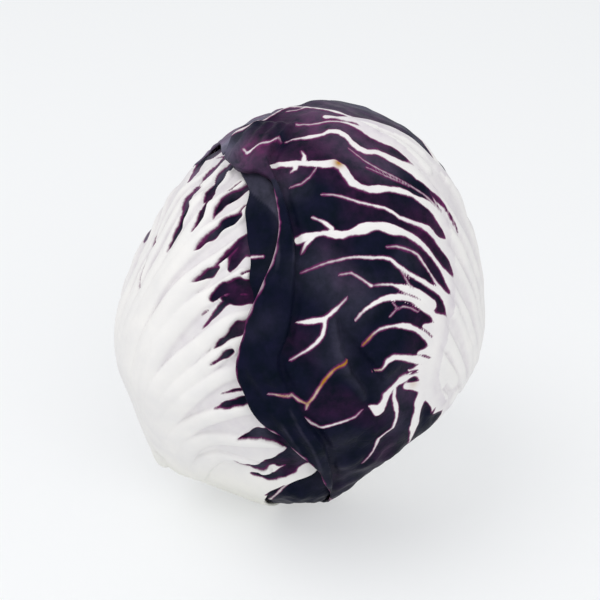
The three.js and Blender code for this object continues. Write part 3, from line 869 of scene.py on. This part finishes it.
def right_surface(leaf, sizes):
    """The right wrapper: veins that run together into white ribs, folds, a groove and a rim."""
    veins = strokes_of(RIGHT_VEINS) + leaf_veins(leaf, 11, 13, 7.0, finest=0.45, sides=(1,))
    ribs = no_wider(veins, 1.3)
    fold_veins = strokes_of(FOLD_VEINS)
    clefts = strokes_of(RIGHT_CLEFTS)
    margin = stroke([(25, -58)] + RIGHT_MARGIN, (0.2,))

    def surface(points, u):
        dirs = unit(points - MIDDLE)
        lat = lat_of(dirs)
        # Veins on the upper blade, which broaden into ribs with clefts between them
        white = run_together(points)
        widen = SPREADING * smoothstep(11, 0, white) ** 2 * smoothstep(75, 68, lat)
        edge, faint, relief = vein_fields(points, veins, sizes.vein_height, widen=widen)
        fluted = flutes(points, ribs, height=1.3, spread=0.9)
        relief = relief + smoothstep(4, -1, white) * (fluted - relief)
        edge = melt(edge, white, MELT)
        cleft, _, _ = vein_fields(points, clefts, 0)
        edge = np.maximum(edge, -cleft)

        # The folds, which are dark
        strip, strip_height, pleat_tops, drop = folded_strip(points)
        edge = edge + 8 * strip
        raised = strip * strip_height * sizes.strip_rise / MM
        relief = relief * (1 - strip) + raised - STRIP_DROP * drop
        dip, lip = groove_and_lip(points)
        # No veins deep in the groove: painted shade of the groove
        edge = edge + 3 * smoothstep(0.5, 0.9, dip)
        relief = relief - dip * sizes.groove_depth / MM
        relief = relief + LIP_HEIGHT * lip * (0.8 + 0.5 * waviness(points, 5, 17))
        step, crease = ridge_and_crease(points)
        relief = relief + RIDGE_STEP * step - CREASE_DEPTH * crease

        # The veins on the folds, the puckers and the pale rim of the free margin
        folded, thin, raised = vein_fields(points, fold_veins, sizes.vein_height)
        faint = np.where(folded < edge, thin, faint)
        edge = np.minimum(edge, folded)
        relief = relief + raised
        relief = relief + sizes.pucker / MM * puckered(points, edge, 1, 2, least=0.25)
        rim, _, _ = vein_fields(points, [margin], 0)
        rim = rim + 0.3 * waviness(points, 1.8, 5) + 3 * smoothstep(64, 67, lat)
        faint = np.where(rim < edge, 0.85, faint)
        edge = np.minimum(edge, rim)

        flush = 0.02 + 0.14 * waviness(points, 13, 4) + patches(dirs, RIGHT_FLUSH_AND_SHADE)
        # Minus dip: no magenta in the groove, painted shade of the groove
        flush = flush - 0.9 * strip * (lat < 66) + 0.55 * smoothstep(5, 0, white) - dip
        # Lilac-grey painted shade in the furrows between the fluted ribs; on the white it rides in
        # the flush attribute
        furrow_shade = 0.45 * smoothstep(0.9, 0.2, fluted)
        # Painted sheen: grey-violet on patches of the folds, on the tops of the pleats and on the
        # lip, painted highlights on the raised parts
        bloom = 0.1 * waviness(points, 12, 13) + patches(dirs, RIGHT_PAINTED_SHEEN)
        bloom = bloom + 0.12 * pleat_tops + 0.1 * lip
        return relief, leaf_looks(points, veins + fold_veins, edge, faint,
                                  flush=np.where(white < 0, furrow_shade, flush), bloom=bloom,
                                  amber=patches(dirs, AMBER))

    return surface


def left_surface(leaf, sizes):
    """The left wrapper: white ribs with dark wedges between them, and far round, an open blade."""
    wedges = strokes_of(LEFT_WEDGES)
    ribs = strokes_of(LEFT_RIBS)
    veins = leaf_veins(leaf, 21, 13, 7.0, finest=0.4, sides=(-1,))
    side_ribs = no_wider(veins, 1.6)

    def surface(points, u):
        dirs = unit(points - MIDDLE)
        lon = lon_of(dirs)
        # Far round the head the blade is open between veins
        away, _, side, _ = to_line(points, *stroke(LEFT_WHITE))
        blade = 1.2 * waviness(points, 9.0, 9) - away * side
        widen = SPREADING * smoothstep(9, 0, blade) ** 2
        open_edge, faint, raised = vein_fields(points, veins, sizes.vein_height, widen=widen)
        open_edge = melt(open_edge, blade, MELT)
        # In front, the wedges are what is dark
        inside, thin, _ = vein_fields(points, wedges, 0)
        inside = inside + 0.3 * thin
        edge = -inside - 2 * (inside > 5)
        dark = smoothstep(-0.6, 0.6, edge)

        fluted = flutes(points, ribs, height=1.7, spread=1.5) * smoothstep(-90, -78, lon)
        beyond = flutes(points, side_ribs, height=1.3, spread=0.9) * smoothstep(-74, -86, lon)
        fluted = np.maximum(fluted, beyond)
        relief = fluted * (1 - 0.5 * dark) - 0.8 * dark
        relief = relief + smoothstep(-1, 3, blade) * (raised - relief)
        relief = relief + 0.3 * waviness(points, 9, 7)

        edge = np.where(blade > 0, open_edge, edge)
        # Lilac-grey painted shade in the furrows between the ribs, fading out low on the head; on
        # the ribs it rides in the flush attribute
        furrow_shade = 0.5 * smoothstep(1.1, 0.3, fluted) * smoothstep(-36, -4, lat_of(dirs))
        far = smoothstep(-56, -72, lon) * smoothstep(-112, -98, lon)
        plum = 0.06 + 0.2 * waviness(points, 8, 8) + 0.35 * far
        # Painted sheen, random and strongest far round the head
        bloom = 0.05 + 0.15 * waviness(points, 6, 15) + 0.6 * far
        return relief, leaf_looks(points, veins, edge, np.where(blade > 0, faint, 0),
                                  flush=np.where(edge > -0.3, plum, furrow_shade), bloom=bloom)

    return surface


def veined_surface(veins, seed, height, pucker, flush_level=0.1, bloom=0.0, sheen_and_flush_spots=(), facet=()):
    """A dark blade between veins. Left of the facet's edge, if any, it turns up with a painted
    highlight.
    """
    facet_edge = stroke(facet) if facet else None

    def surface(points, u):
        edge, faint, relief = vein_fields(points, veins, height)
        relief = relief + pucker * puckered(points, edge, seed, seed + 3)
        spots = patches(unit(points - MIDDLE), sheen_and_flush_spots)
        flush = flush_level * (1 + 2.5 * waviness(points, 14, seed + 1)) + 0.6 * spots
        # Painted sheen: towards the tip, in random patches and in the spots
        shine = bloom * smoothstep(0.7, 1.0, u) + 0.12 * waviness(points, 12, seed + 4) + spots
        if facet_edge:
            away, _, side, _ = to_line(points, *facet_edge)
            turned = 1 - smoothstep(-0.3, 0.3, away * side)
            relief = relief + 0.45 * turned
            # The turned-up part gets a painted highlight
            shine = shine + 0.22 * turned
        return relief, leaf_looks(points, veins, edge, faint, flush=flush, bloom=shine)

    return surface


# ---- Materials ----

def add_node(tree, kind, inputs=None, out=None, **settings):
    """Adds a shader node, sets its properties, and sets or links its inputs.

    It gives back the output of that name, or the first one in use.
    """
    node = tree.nodes.new("ShaderNode" + kind)
    for key, value in settings.items():
        setattr(node, key, value)
    for key, value in (inputs or {}).items():
        named = [socket for socket in node.inputs if socket.name == key and socket.enabled]
        socket = named[0] if named else node.inputs[key]
        if isinstance(value, bpy.types.NodeSocket):
            tree.links.new(value, socket)
        else:
            socket.default_value = value
    return node.outputs[out] if out else next((s for s in node.outputs if s.enabled), None)


def new_material(name):
    """An empty node material, and the function that adds a node to it."""
    material = bpy.data.materials.new(name)
    material.use_nodes = True
    material.node_tree.nodes.clear()
    return material, partial(add_node, material.node_tree)


# The noises of the leaf material: name, size in mm, detail and roughness
LEAF_PATTERNS = (
    ("ragged", 1.4, 3, 0.5),
    ("spread", 9, 2, 0.5),
    ("mottle", 5, 4, 0.62),
    ("magenta", 2.2, 3, 0.5),
    ("white", 7, 3, 0.5),
    ("furrow_shade", 4, 2, 0.5),
    ("shine", 4, 3, 0.5),
    ("skin", 1.1, 3, 0.5),
)
NET_SIZE = 3.2  # mm between the finest veins, which raise a net on the blade
GREENISH_FROM = 2  # mm above the floor
GREENISH_TO = 34


def leaf_material(colours):
    """Waxy radicchio leaf, grown: white fleshy veins, a magenta flush beside them, dark blade."""
    material, add = new_material("waxy_radicchio_leaf")
    place = add("TexCoord", out="Object")
    vein_edge, vein_across, vein_faint, flush, bloom, amber = (
        add("Attribute", out="Fac", attribute_name=name)
        for name in ("vein_edge", "vein_across", "vein_faint", "flush", "bloom", "amber"))
    pattern = {name: add("TexNoise", {"Vector": place, "Scale": 1 / (size * MM), "Detail": detail,
                                      "Roughness": rough})
               for name, size, detail, rough in LEAF_PATTERNS}

    # How far each place lies outside the ragged edge of a vein, and how much of a vein it is
    across = add("Math", {0: vein_across}, operation="ABSOLUTE")
    edge = add("Math", {0: vein_edge, 1: across}, operation="ADD")
    ragged = add("Math", {0: pattern["ragged"], 1: 0.5, 2: -0.25}, operation="MULTIPLY_ADD")
    edge = add("Math", {0: edge, 1: ragged}, operation="ADD")
    vein = add("MapRange", {"Value": edge, "From Min": -0.32, "From Max": 0.16, "To Min": 1.0,
                            "To Max": 0.0}, interpolation_type="SMOOTHSTEP")
    fading = add("Math", {0: amber, 1: -0.6, 2: 0.8}, operation="MULTIPLY_ADD", use_clamp=True)
    fading = add("Math", {0: vein_faint, 1: fading}, operation="MULTIPLY")
    showing = add("Math", {0: 1.0, 1: fading}, operation="SUBTRACT")
    vein = add("Math", {0: vein, 1: showing}, operation="MULTIPLY")

    # The blade: blue-black and aubergine, a painted grey sheen on it, magenta in flushes and by the
    # veins
    mottle = add("MapRange", {"Value": pattern["mottle"], "From Min": 0.3, "From Max": 0.7})
    blade = add("Mix", {"Factor": mottle, "A": colours.blade_dark, "B": colours.blade},
                data_type="RGBA")
    # Painted highlight: the blade is mixed towards grey-violet by the painted sheen attribute
    painted_sheen_share = add("Math", {0: mottle, 1: 0.5, 2: 0.35}, operation="MULTIPLY_ADD")
    painted_sheen_share = add("Math", {0: bloom, 1: painted_sheen_share}, operation="MULTIPLY")
    blade = add("Mix", {"Factor": painted_sheen_share, "A": blade, "B": colours.bloom}, data_type="RGBA")
    magenta = add("Mix", {"Factor": pattern["magenta"], "A": colours.edge,
                          "B": colours.edge_bright}, data_type="RGBA")
    flushed = add("Math", {0: flush, 1: mottle}, operation="MULTIPLY", use_clamp=True)
    blade = add("Mix", {"Factor": flushed, "A": blade, "B": magenta}, data_type="RGBA")
    spread = add("Math", {0: pattern["spread"], 1: 0.75}, operation="MULTIPLY")
    spread = add("Math", {0: flush, 1: 0.35, 2: spread}, operation="MULTIPLY_ADD")
    beside = add("Math", {0: edge, 1: spread}, operation="DIVIDE")
    beside = add("MapRange", {"Value": beside, "From Min": 0.0, "From Max": 1.3, "To Min": 0.9,
                              "To Max": 0.0}, interpolation_type="SMOOTHSTEP")
    blade = add("Mix", {"Factor": beside, "A": blade, "B": magenta}, data_type="RGBA")

    # The veins: cream white, greenish low on the head, painted lilac shade in the furrows, here and
    # there amber
    white = add("Mix", {"Factor": pattern["white"], "A": colours.vein, "B": colours.vein_shade},
                data_type="RGBA")
    height = add("SeparateXYZ", {"Vector": place}, out="Z")
    low = add("MapRange", {"Value": height, "From Min": GREENISH_FROM * MM,
                           "From Max": GREENISH_TO * MM, "To Min": 0.7, "To Max": 0.0},
              interpolation_type="SMOOTHSTEP")
    white = add("Mix", {"Factor": low, "A": white, "B": colours.vein_base}, data_type="RGBA")
    # Painted shade: on the veins the flush attribute holds how deep in a furrow a place lies
    furrow_shade = add("Math", {0: flush, 1: pattern["furrow_shade"]}, operation="MULTIPLY")
    furrow_shade = add("Math", {0: furrow_shade, 1: 0.7}, operation="MULTIPLY")
    white = add("Mix", {"Factor": furrow_shade, "A": white, "B": colours.furrow_shade}, data_type="RGBA")
    white = add("Mix", {"Factor": amber, "A": white, "B": colours.amber}, data_type="RGBA")
    colour = add("Mix", {"Factor": vein, "A": blade, "B": white}, data_type="RGBA")

    # The skin: dull, with the net of the finest veins on the blade and a fine grain all over
    rough = add("MapRange", {"Value": pattern["shine"], "From Min": 0.3, "From Max": 0.7,
                             "To Min": 0.4, "To Max": 0.56})
    cells = add("TexVoronoi", {"Vector": place, "Scale": 1 / (NET_SIZE * MM)}, out="Distance",
                feature="DISTANCE_TO_EDGE")
    net = add("MapRange", {"Value": cells, "From Min": 0.0, "From Max": 0.16, "To Max": 0.5},
              interpolation_type="SMOOTHSTEP")
    open_blade = add("Math", {0: 1.0, 1: vein}, operation="SUBTRACT")
    net = add("Math", {0: net, 1: open_blade}, operation="MULTIPLY")
    skin = add("Math", {0: pattern["skin"], 1: 0.35, 2: net}, operation="MULTIPLY_ADD")
    bump = add("Bump", {"Height": skin, "Strength": 0.28, "Distance": 0.25 * MM})
    leaf = add("BsdfPrincipled", {
        "Base Color": colour, "Roughness": rough, "Normal": bump, "IOR": 1.42,
        "Specular IOR Level": 0.045, "Sheen Weight": 0.01, "Sheen Roughness": 0.4,
        "Sheen Tint": colours.sheen})
    add("OutputMaterial", {"Surface": leaf})
    return material


STEM_GRAIN = 2.5  # mm
STEM_RADIUS = 14.5  # mm, a little more than the stem's own


def stem_material(colours):
    """Cut radicchio stem, sliced across: creamy flesh, browned and darker at the rim."""
    material, add = new_material("cut_radicchio_stem")
    place = add("TexCoord", out="Object")
    centred = add("Mapping", {"Vector": place, "Location": (-AXIS.x * MM, -AXIS.y * MM, 0)})
    flat = add("VectorMath", {0: centred, 1: (1, 1, 0)}, operation="MULTIPLY")
    radius = add("VectorMath", {0: flat}, out="Value", operation="LENGTH")
    grain = add("TexNoise", {"Vector": place, "Scale": 1 / (STEM_GRAIN * MM), "Detail": 4.0})
    wobble = add("Math", {0: grain, 1: 3.0 * MM, 2: radius}, operation="MULTIPLY_ADD")
    share = add("MapRange", {"Value": wobble, "From Min": 0.0, "From Max": STEM_RADIUS * MM})
    rings = add("ValToRGB", {"Fac": share})
    stops = ((0.0, colours.stem_face), (0.62, colours.stem_face), (0.78, colours.stem_brown),
             (0.84, colours.stem_face), (0.95, colours.stem_brown))
    elements = rings.node.color_ramp.elements
    while len(elements) < len(stops):
        elements.new(0.5)
    for element, (position, colour) in zip(elements, stops):
        element.position = position
        element.color = colour
    bump = add("Bump", {"Height": grain, "Strength": 0.5, "Distance": 0.3 * MM})
    stem = add("BsdfPrincipled", {"Base Color": rings, "Normal": bump, "Roughness": 0.6})
    add("OutputMaterial", {"Surface": stem})
    return material


def shared_leaf_material(context):
    """The one leaf material, made when the first leaf asks for it."""
    return (bpy.data.materials.get("waxy_radicchio_leaf")
            or leaf_material(context.scene.radicchio.colours))


def seen_rays(add):
    """1 for rays that show a surface as it is: camera, glossy and transmission rays."""
    rays = add("LightPath").node.outputs
    seen = rays["Is Camera Ray"]
    for name in ("Is Glossy Ray", "Is Transmission Ray"):
        seen = add("Math", {0: seen, 1: rays[name]}, operation="MAXIMUM")
    return seen


def paper_material(colours):
    """Studio paper, seamless and white: the shadows on it stay pale."""
    material, add = new_material("studio_paper")
    lit = add("BsdfPrincipled", {"Base Color": colours.floor, "Roughness": 0.9,
                                 "Specular IOR Level": 0.1})
    even = add("Emission", {"Color": colours.floor, "Strength": 1.0})
    share = add("Math", {0: seen_rays(add), 1: 0.5}, operation="MULTIPLY")
    paper = add("MixShader", {0: share, 1: lit, 2: even})
    add("OutputMaterial", {"Surface": paper})
    return material


# ---- Stage ----

# Name, place in metres and power in watts
LAMPS = (("key", (-0.5, -0.2, 1.15), 4.6), ("fill", (0.45, -1.05, 0.8), 3.4))
LAMP_SIZE = 0.9  # metres across
LAMP_AIM = Vector((0, 0, 0.06))
SKY = linear("#F4F6F8")
SKY_LIGHT = 0.78  # its strength as light; seen, it has its full strength
CAMERA_AIM = Vector((AXIS.x * MM + 0.0019, 0.0, 0.0656))
CAMERA_RISE = 28  # degrees above the level
CAMERA_DISTANCE = 0.425  # metres


def add_floor(scene, colours):
    """A wide square of studio paper under the head."""
    bm = bmesh.new()
    bmesh.ops.create_grid(bm, x_segments=1, y_segments=1, size=3.0)
    mesh = bpy.data.meshes.new("floor")
    bm.to_mesh(mesh)
    bm.free()
    mesh.materials.append(paper_material(colours))
    floor = bpy.data.objects.new("floor", mesh)
    scene.collection.objects.link(floor)
    return floor


def add_world():
    """An even pale sky."""
    world = bpy.data.worlds.new("studio")
    world.use_nodes = True
    sky = world.node_tree
    add = partial(add_node, sky)
    background = sky.nodes["Background"]
    background.inputs["Color"].default_value = SKY
    strength = add("MapRange", {"Value": seen_rays(add), "To Min": SKY_LIGHT, "To Max": 1.0})
    sky.links.new(strength, background.inputs["Strength"])
    return world


def add_lamp(scene, name, place, power):
    """A soft round lamp turned to the middle of the head."""
    lamp = bpy.data.lights.new(name, "AREA")
    lamp.shape = "DISK"
    lamp.size = LAMP_SIZE
    lamp.energy = power
    light = bpy.data.objects.new(name, lamp)
    light.location = place
    beam = LAMP_AIM - Vector(place)
    light.rotation_euler = beam.to_track_quat("-Z", "Y").to_euler()
    light.visible_camera = False
    scene.collection.objects.link(light)


def add_camera(scene):
    """An 85 mm lens that looks down at the front of the head."""
    camera = bpy.data.cameras.new("camera")
    camera.lens = 85
    camera.sensor_width = 36
    eye = bpy.data.objects.new("camera", camera)
    raised = math.radians(CAMERA_RISE)
    away = Vector((0, -math.cos(raised), math.sin(raised)))
    eye.location = CAMERA_AIM + CAMERA_DISTANCE * away
    eye.rotation_euler = (CAMERA_AIM - eye.location).to_track_quat("-Z", "Y").to_euler()
    scene.collection.objects.link(eye)
    return eye


# ---- Settings ----

def colour_setting(name, description, hex_colour):
    """A colour that the panel can change."""
    return FloatVectorProperty(name=name, description=description, subtype="COLOR", size=4,
                               min=0.0, max=1.0, default=linear(hex_colour))


class RadicchioSizes(bpy.types.PropertyGroup):
    vein_height: FloatProperty(
        name="Vein height", description="Height of a vein for each mm of its half-width",
        default=0.42, min=0.0, max=1.0)
    pucker: FloatProperty(
        name="Pucker", description="How far the blade puckers between its veins",
        default=0.45 * MM, unit="LENGTH", subtype="DISTANCE")
    strip_rise: FloatProperty(
        name="Strip rise", description="How proud the folded strip beside the free margin stands",
        default=2.0 * MM, unit="LENGTH", subtype="DISTANCE")
    groove_depth: FloatProperty(
        name="Groove depth", description="Depth of the groove in the front of the right wrapper",
        default=2.6 * MM, unit="LENGTH", subtype="DISTANCE")


class RadicchioColours(bpy.types.PropertyGroup):
    vein: colour_setting("Vein", "Creamy white of the veins", "#F3F0EC")
    vein_shade: colour_setting("Vein shade", "Slightly greyer white", "#E3E1E1")
    vein_base: colour_setting("Vein base", "Greenish cream low on the head", "#E8E8D9")
    # Painted shade in the furrows between the ribs
    furrow_shade: colour_setting("Furrow", "Lilac grey between the ribs", "#A794AE")
    amber: colour_setting("Amber", "Yellowed lengths of vein", "#A9781F")
    edge: colour_setting("Edge", "Magenta beside the veins", "#4E1A46")
    edge_bright: colour_setting("Bright edge", "Brighter magenta flush", "#86306C")
    blade: colour_setting("Blade", "Aubergine of the blade", "#14152B")
    blade_dark: colour_setting("Dark blade", "Blue-black of the blade", "#050E1A")
    # Painted grey-violet sheen: a painted highlight on folds and on the back leaf's tip
    bloom: colour_setting("Bloom", "Grey-violet sheen of folds in the blade", "#8A859C")
    sheen: colour_setting("Sheen", "Lilac wax on the blade", "#B9A6C8")
    stem_face: colour_setting("Stem face", "Cut face of the stem", "#E6DCC0")
    stem_brown: colour_setting("Stem brown", "Browned rim of the stem", "#A98A5C")
    floor: colour_setting("Floor", "Studio floor", "#F6F7F8")


class RadicchioSettings(bpy.types.PropertyGroup):
    sizes: PointerProperty(type=RadicchioSizes, name="Sizes", description="Relief of the leaves")
    colours: PointerProperty(type=RadicchioColours, name="Colours", description="Leaf colours")


# ---- Operators ----

class RADICCHIO_OT_right_wrapper(bpy.types.Operator):
    """Build the right wrapper leaf, whose free margin runs down the front"""
    bl_idname = "radicchio.right_wrapper"
    bl_label = "Right wrapper leaf"

    def execute(self, context):
        leaf = right_wrapper_leaf()
        across = spaced(222, ((0, 1.5), (0.1, 1.35), (0.42, 1.15), (0.5, 0.7), (0.6, 0.5),
                              (1, 0.5)))
        up = spaced(402, ((0, 0.6), (0.12, 1.0), (0.8, 1.1), (1, 0.9)))
        surface = right_surface(leaf, context.scene.radicchio.sizes)
        piece = leaf_piece("right_wrapper", leaf, across, up, surface,
                           shared_leaf_material(context), frayed=0.012)
        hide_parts("leaf_outer_right")
        return {"FINISHED"}


class RADICCHIO_OT_left_wrapper(bpy.types.Operator):
    """Build the left wrapper leaf, nearly all white ribs with dark wedges between them"""
    bl_idname = "radicchio.left_wrapper"
    bl_label = "Left wrapper leaf"

    def execute(self, context):
        leaf = left_wrapper_leaf()
        across = spaced(270, ((0, 0.3), (0.2, 0.7), (0.6, 1.1), (1, 1.4)))
        up = spaced(300, ((0, 0.6), (0.15, 1.0), (0.75, 1.0), (1, 0.4)))
        surface = left_surface(leaf, context.scene.radicchio.sizes)
        piece = leaf_piece("left_wrapper", leaf, across, up, surface,
                           shared_leaf_material(context))
        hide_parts("leaf_outer_left")
        return {"FINISHED"}


class RADICCHIO_OT_back_wrapper(bpy.types.Operator):
    """Build the back wrapper leaf, whose tip lies over the crown"""
    bl_idname = "radicchio.back_wrapper"
    bl_label = "Back wrapper leaf"

    def execute(self, context):
        sizes = context.scene.radicchio.sizes
        leaf = back_wrapper_leaf()
        # Its tip carries a strong painted grey-violet sheen
        surface = veined_surface(leaf_veins(leaf, 31, 12, 9.0), 31, sizes.vein_height,
                                 sizes.pucker / MM, bloom=0.9, sheen_and_flush_spots=BACK_FLUSH_AND_SHEEN)
        piece = leaf_piece("back_wrapper", leaf, spaced(240), spaced(240), surface,
                           shared_leaf_material(context))
        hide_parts("leaf_outer_back")
        return {"FINISHED"}


class RADICCHIO_OT_under_leaves(bpy.types.Operator):
    """Build the two leaves that show under the wrappers at the seam and below it"""
    bl_idname = "radicchio.under_leaves"
    bl_label = "Leaves under the wrappers"

    def execute(self, context):
        sizes = context.scene.radicchio.sizes
        seam_vein = stroke([(-20.5, 47.5), (-17, 48), (-12, 48.6)], (0.12, 0.3, 0.2))
        foot_vein = stroke([(-13, -52), (-9, -46), (-4, -40), (1, -37)], (0.35, 0.3, 0.25, 0.15))
        for name, node, leaf, vein, facet in (
                ("under_right_leaf", "leaf_under_right", under_right_leaf(), seam_vein, FLAP_EDGE),
                ("under_front_leaf", "leaf_under_front", under_front_leaf(), foot_vein, ())):
            surface = veined_surface([vein], 41, sizes.vein_height, sizes.pucker / MM,
                                     flush_level=0, facet=facet)
            piece = leaf_piece(name, leaf, spaced(168), spaced(240), surface,
                               shared_leaf_material(context), frayed=0.05)
            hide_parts(node)
        return {"FINISHED"}


class RADICCHIO_OT_inner_leaves(bpy.types.Operator):
    """Build the leaves packed inside the head"""
    bl_idname = "radicchio.inner_leaves"
    bl_label = "Inner leaves"

    def execute(self, context):
        sizes = context.scene.radicchio.sizes
        for index in range(INNER_COUNT):
            leaf = inner_leaf(index)
            seed = 60 + index
            surface = veined_surface(leaf_veins(leaf, seed, 7, 5.0), seed,
                                     sizes.vein_height * 0.5, pucker=0.3, flush_level=0.6)
            piece = leaf_piece(f"inner_leaf_{index + 1}", leaf, spaced(48), spaced(72), surface,
                               shared_leaf_material(context))
            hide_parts(f"leaf_inner_{index + 1}")
        return {"FINISHED"}


class RADICCHIO_OT_stem(bpy.types.Operator):
    """Finish the trimmed stem with its cut face, and the heart at its top"""
    bl_idname = "radicchio.stem"
    bl_label = "Stem and heart"

    def execute(self, context):
        for name, material in (("stem_core", stem_material(context.scene.radicchio.colours)),
                               ("heart_bud", shared_leaf_material(context))):
            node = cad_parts[name]
            node.data.materials.clear()
            node.data.materials.append(material)
        return {"FINISHED"}


class RADICCHIO_OT_stage(bpy.types.Operator):
    """Set the floor, soft lights, world and camera"""
    bl_idname = "radicchio.stage"
    bl_label = "Stage"

    def execute(self, context):
        scene = context.scene
        floor = add_floor(scene, scene.radicchio.colours)
        scene.world = add_world()
        for name, place, power in LAMPS:
            add_lamp(scene, name, place, power)
        scene.camera = add_camera(scene)
        scene.view_settings.view_transform = "Standard"
        return {"FINISHED"}


class RADICCHIO_PT_panel(bpy.types.Panel):
    """Sizes, colours and pieces of the radicchio head"""
    bl_label = "Radicchio head"
    bl_idname = "RADICCHIO_PT_panel"
    bl_space_type = "VIEW_3D"
    bl_region_type = "UI"
    bl_category = "Radicchio"

    def draw(self, context):
        settings = context.scene.radicchio
        for group in (settings.sizes, settings.colours):
            box = self.layout.box()
            for key in group.__annotations__:
                box.prop(group, key)
        for operator in OPERATORS:
            self.layout.operator(operator.bl_idname)


OPERATORS = (
    RADICCHIO_OT_stem,
    RADICCHIO_OT_inner_leaves,
    RADICCHIO_OT_under_leaves,
    RADICCHIO_OT_back_wrapper,
    RADICCHIO_OT_left_wrapper,
    RADICCHIO_OT_right_wrapper,
    RADICCHIO_OT_stage,
)
CLASSES = (RadicchioSizes, RadicchioColours, RadicchioSettings, *OPERATORS, RADICCHIO_PT_panel)


def register():
    """Adds the classes and the settings to Blender."""
    for cls in CLASSES:
        bpy.utils.register_class(cls)
    bpy.types.Scene.radicchio = PointerProperty(type=RadicchioSettings)


def unregister():
    """Takes them away again."""
    del bpy.types.Scene.radicchio
    for cls in reversed(CLASSES):
        bpy.utils.unregister_class(cls)


def main():
    """Builds the head and its stage."""
    register()
    bpy.ops.radicchio.stem()
    bpy.ops.radicchio.inner_leaves()
    bpy.ops.radicchio.under_leaves()
    bpy.ops.radicchio.back_wrapper()
    bpy.ops.radicchio.left_wrapper()
    bpy.ops.radicchio.right_wrapper()
    bpy.ops.radicchio.stage()


if __name__ == "__main__":
    main()
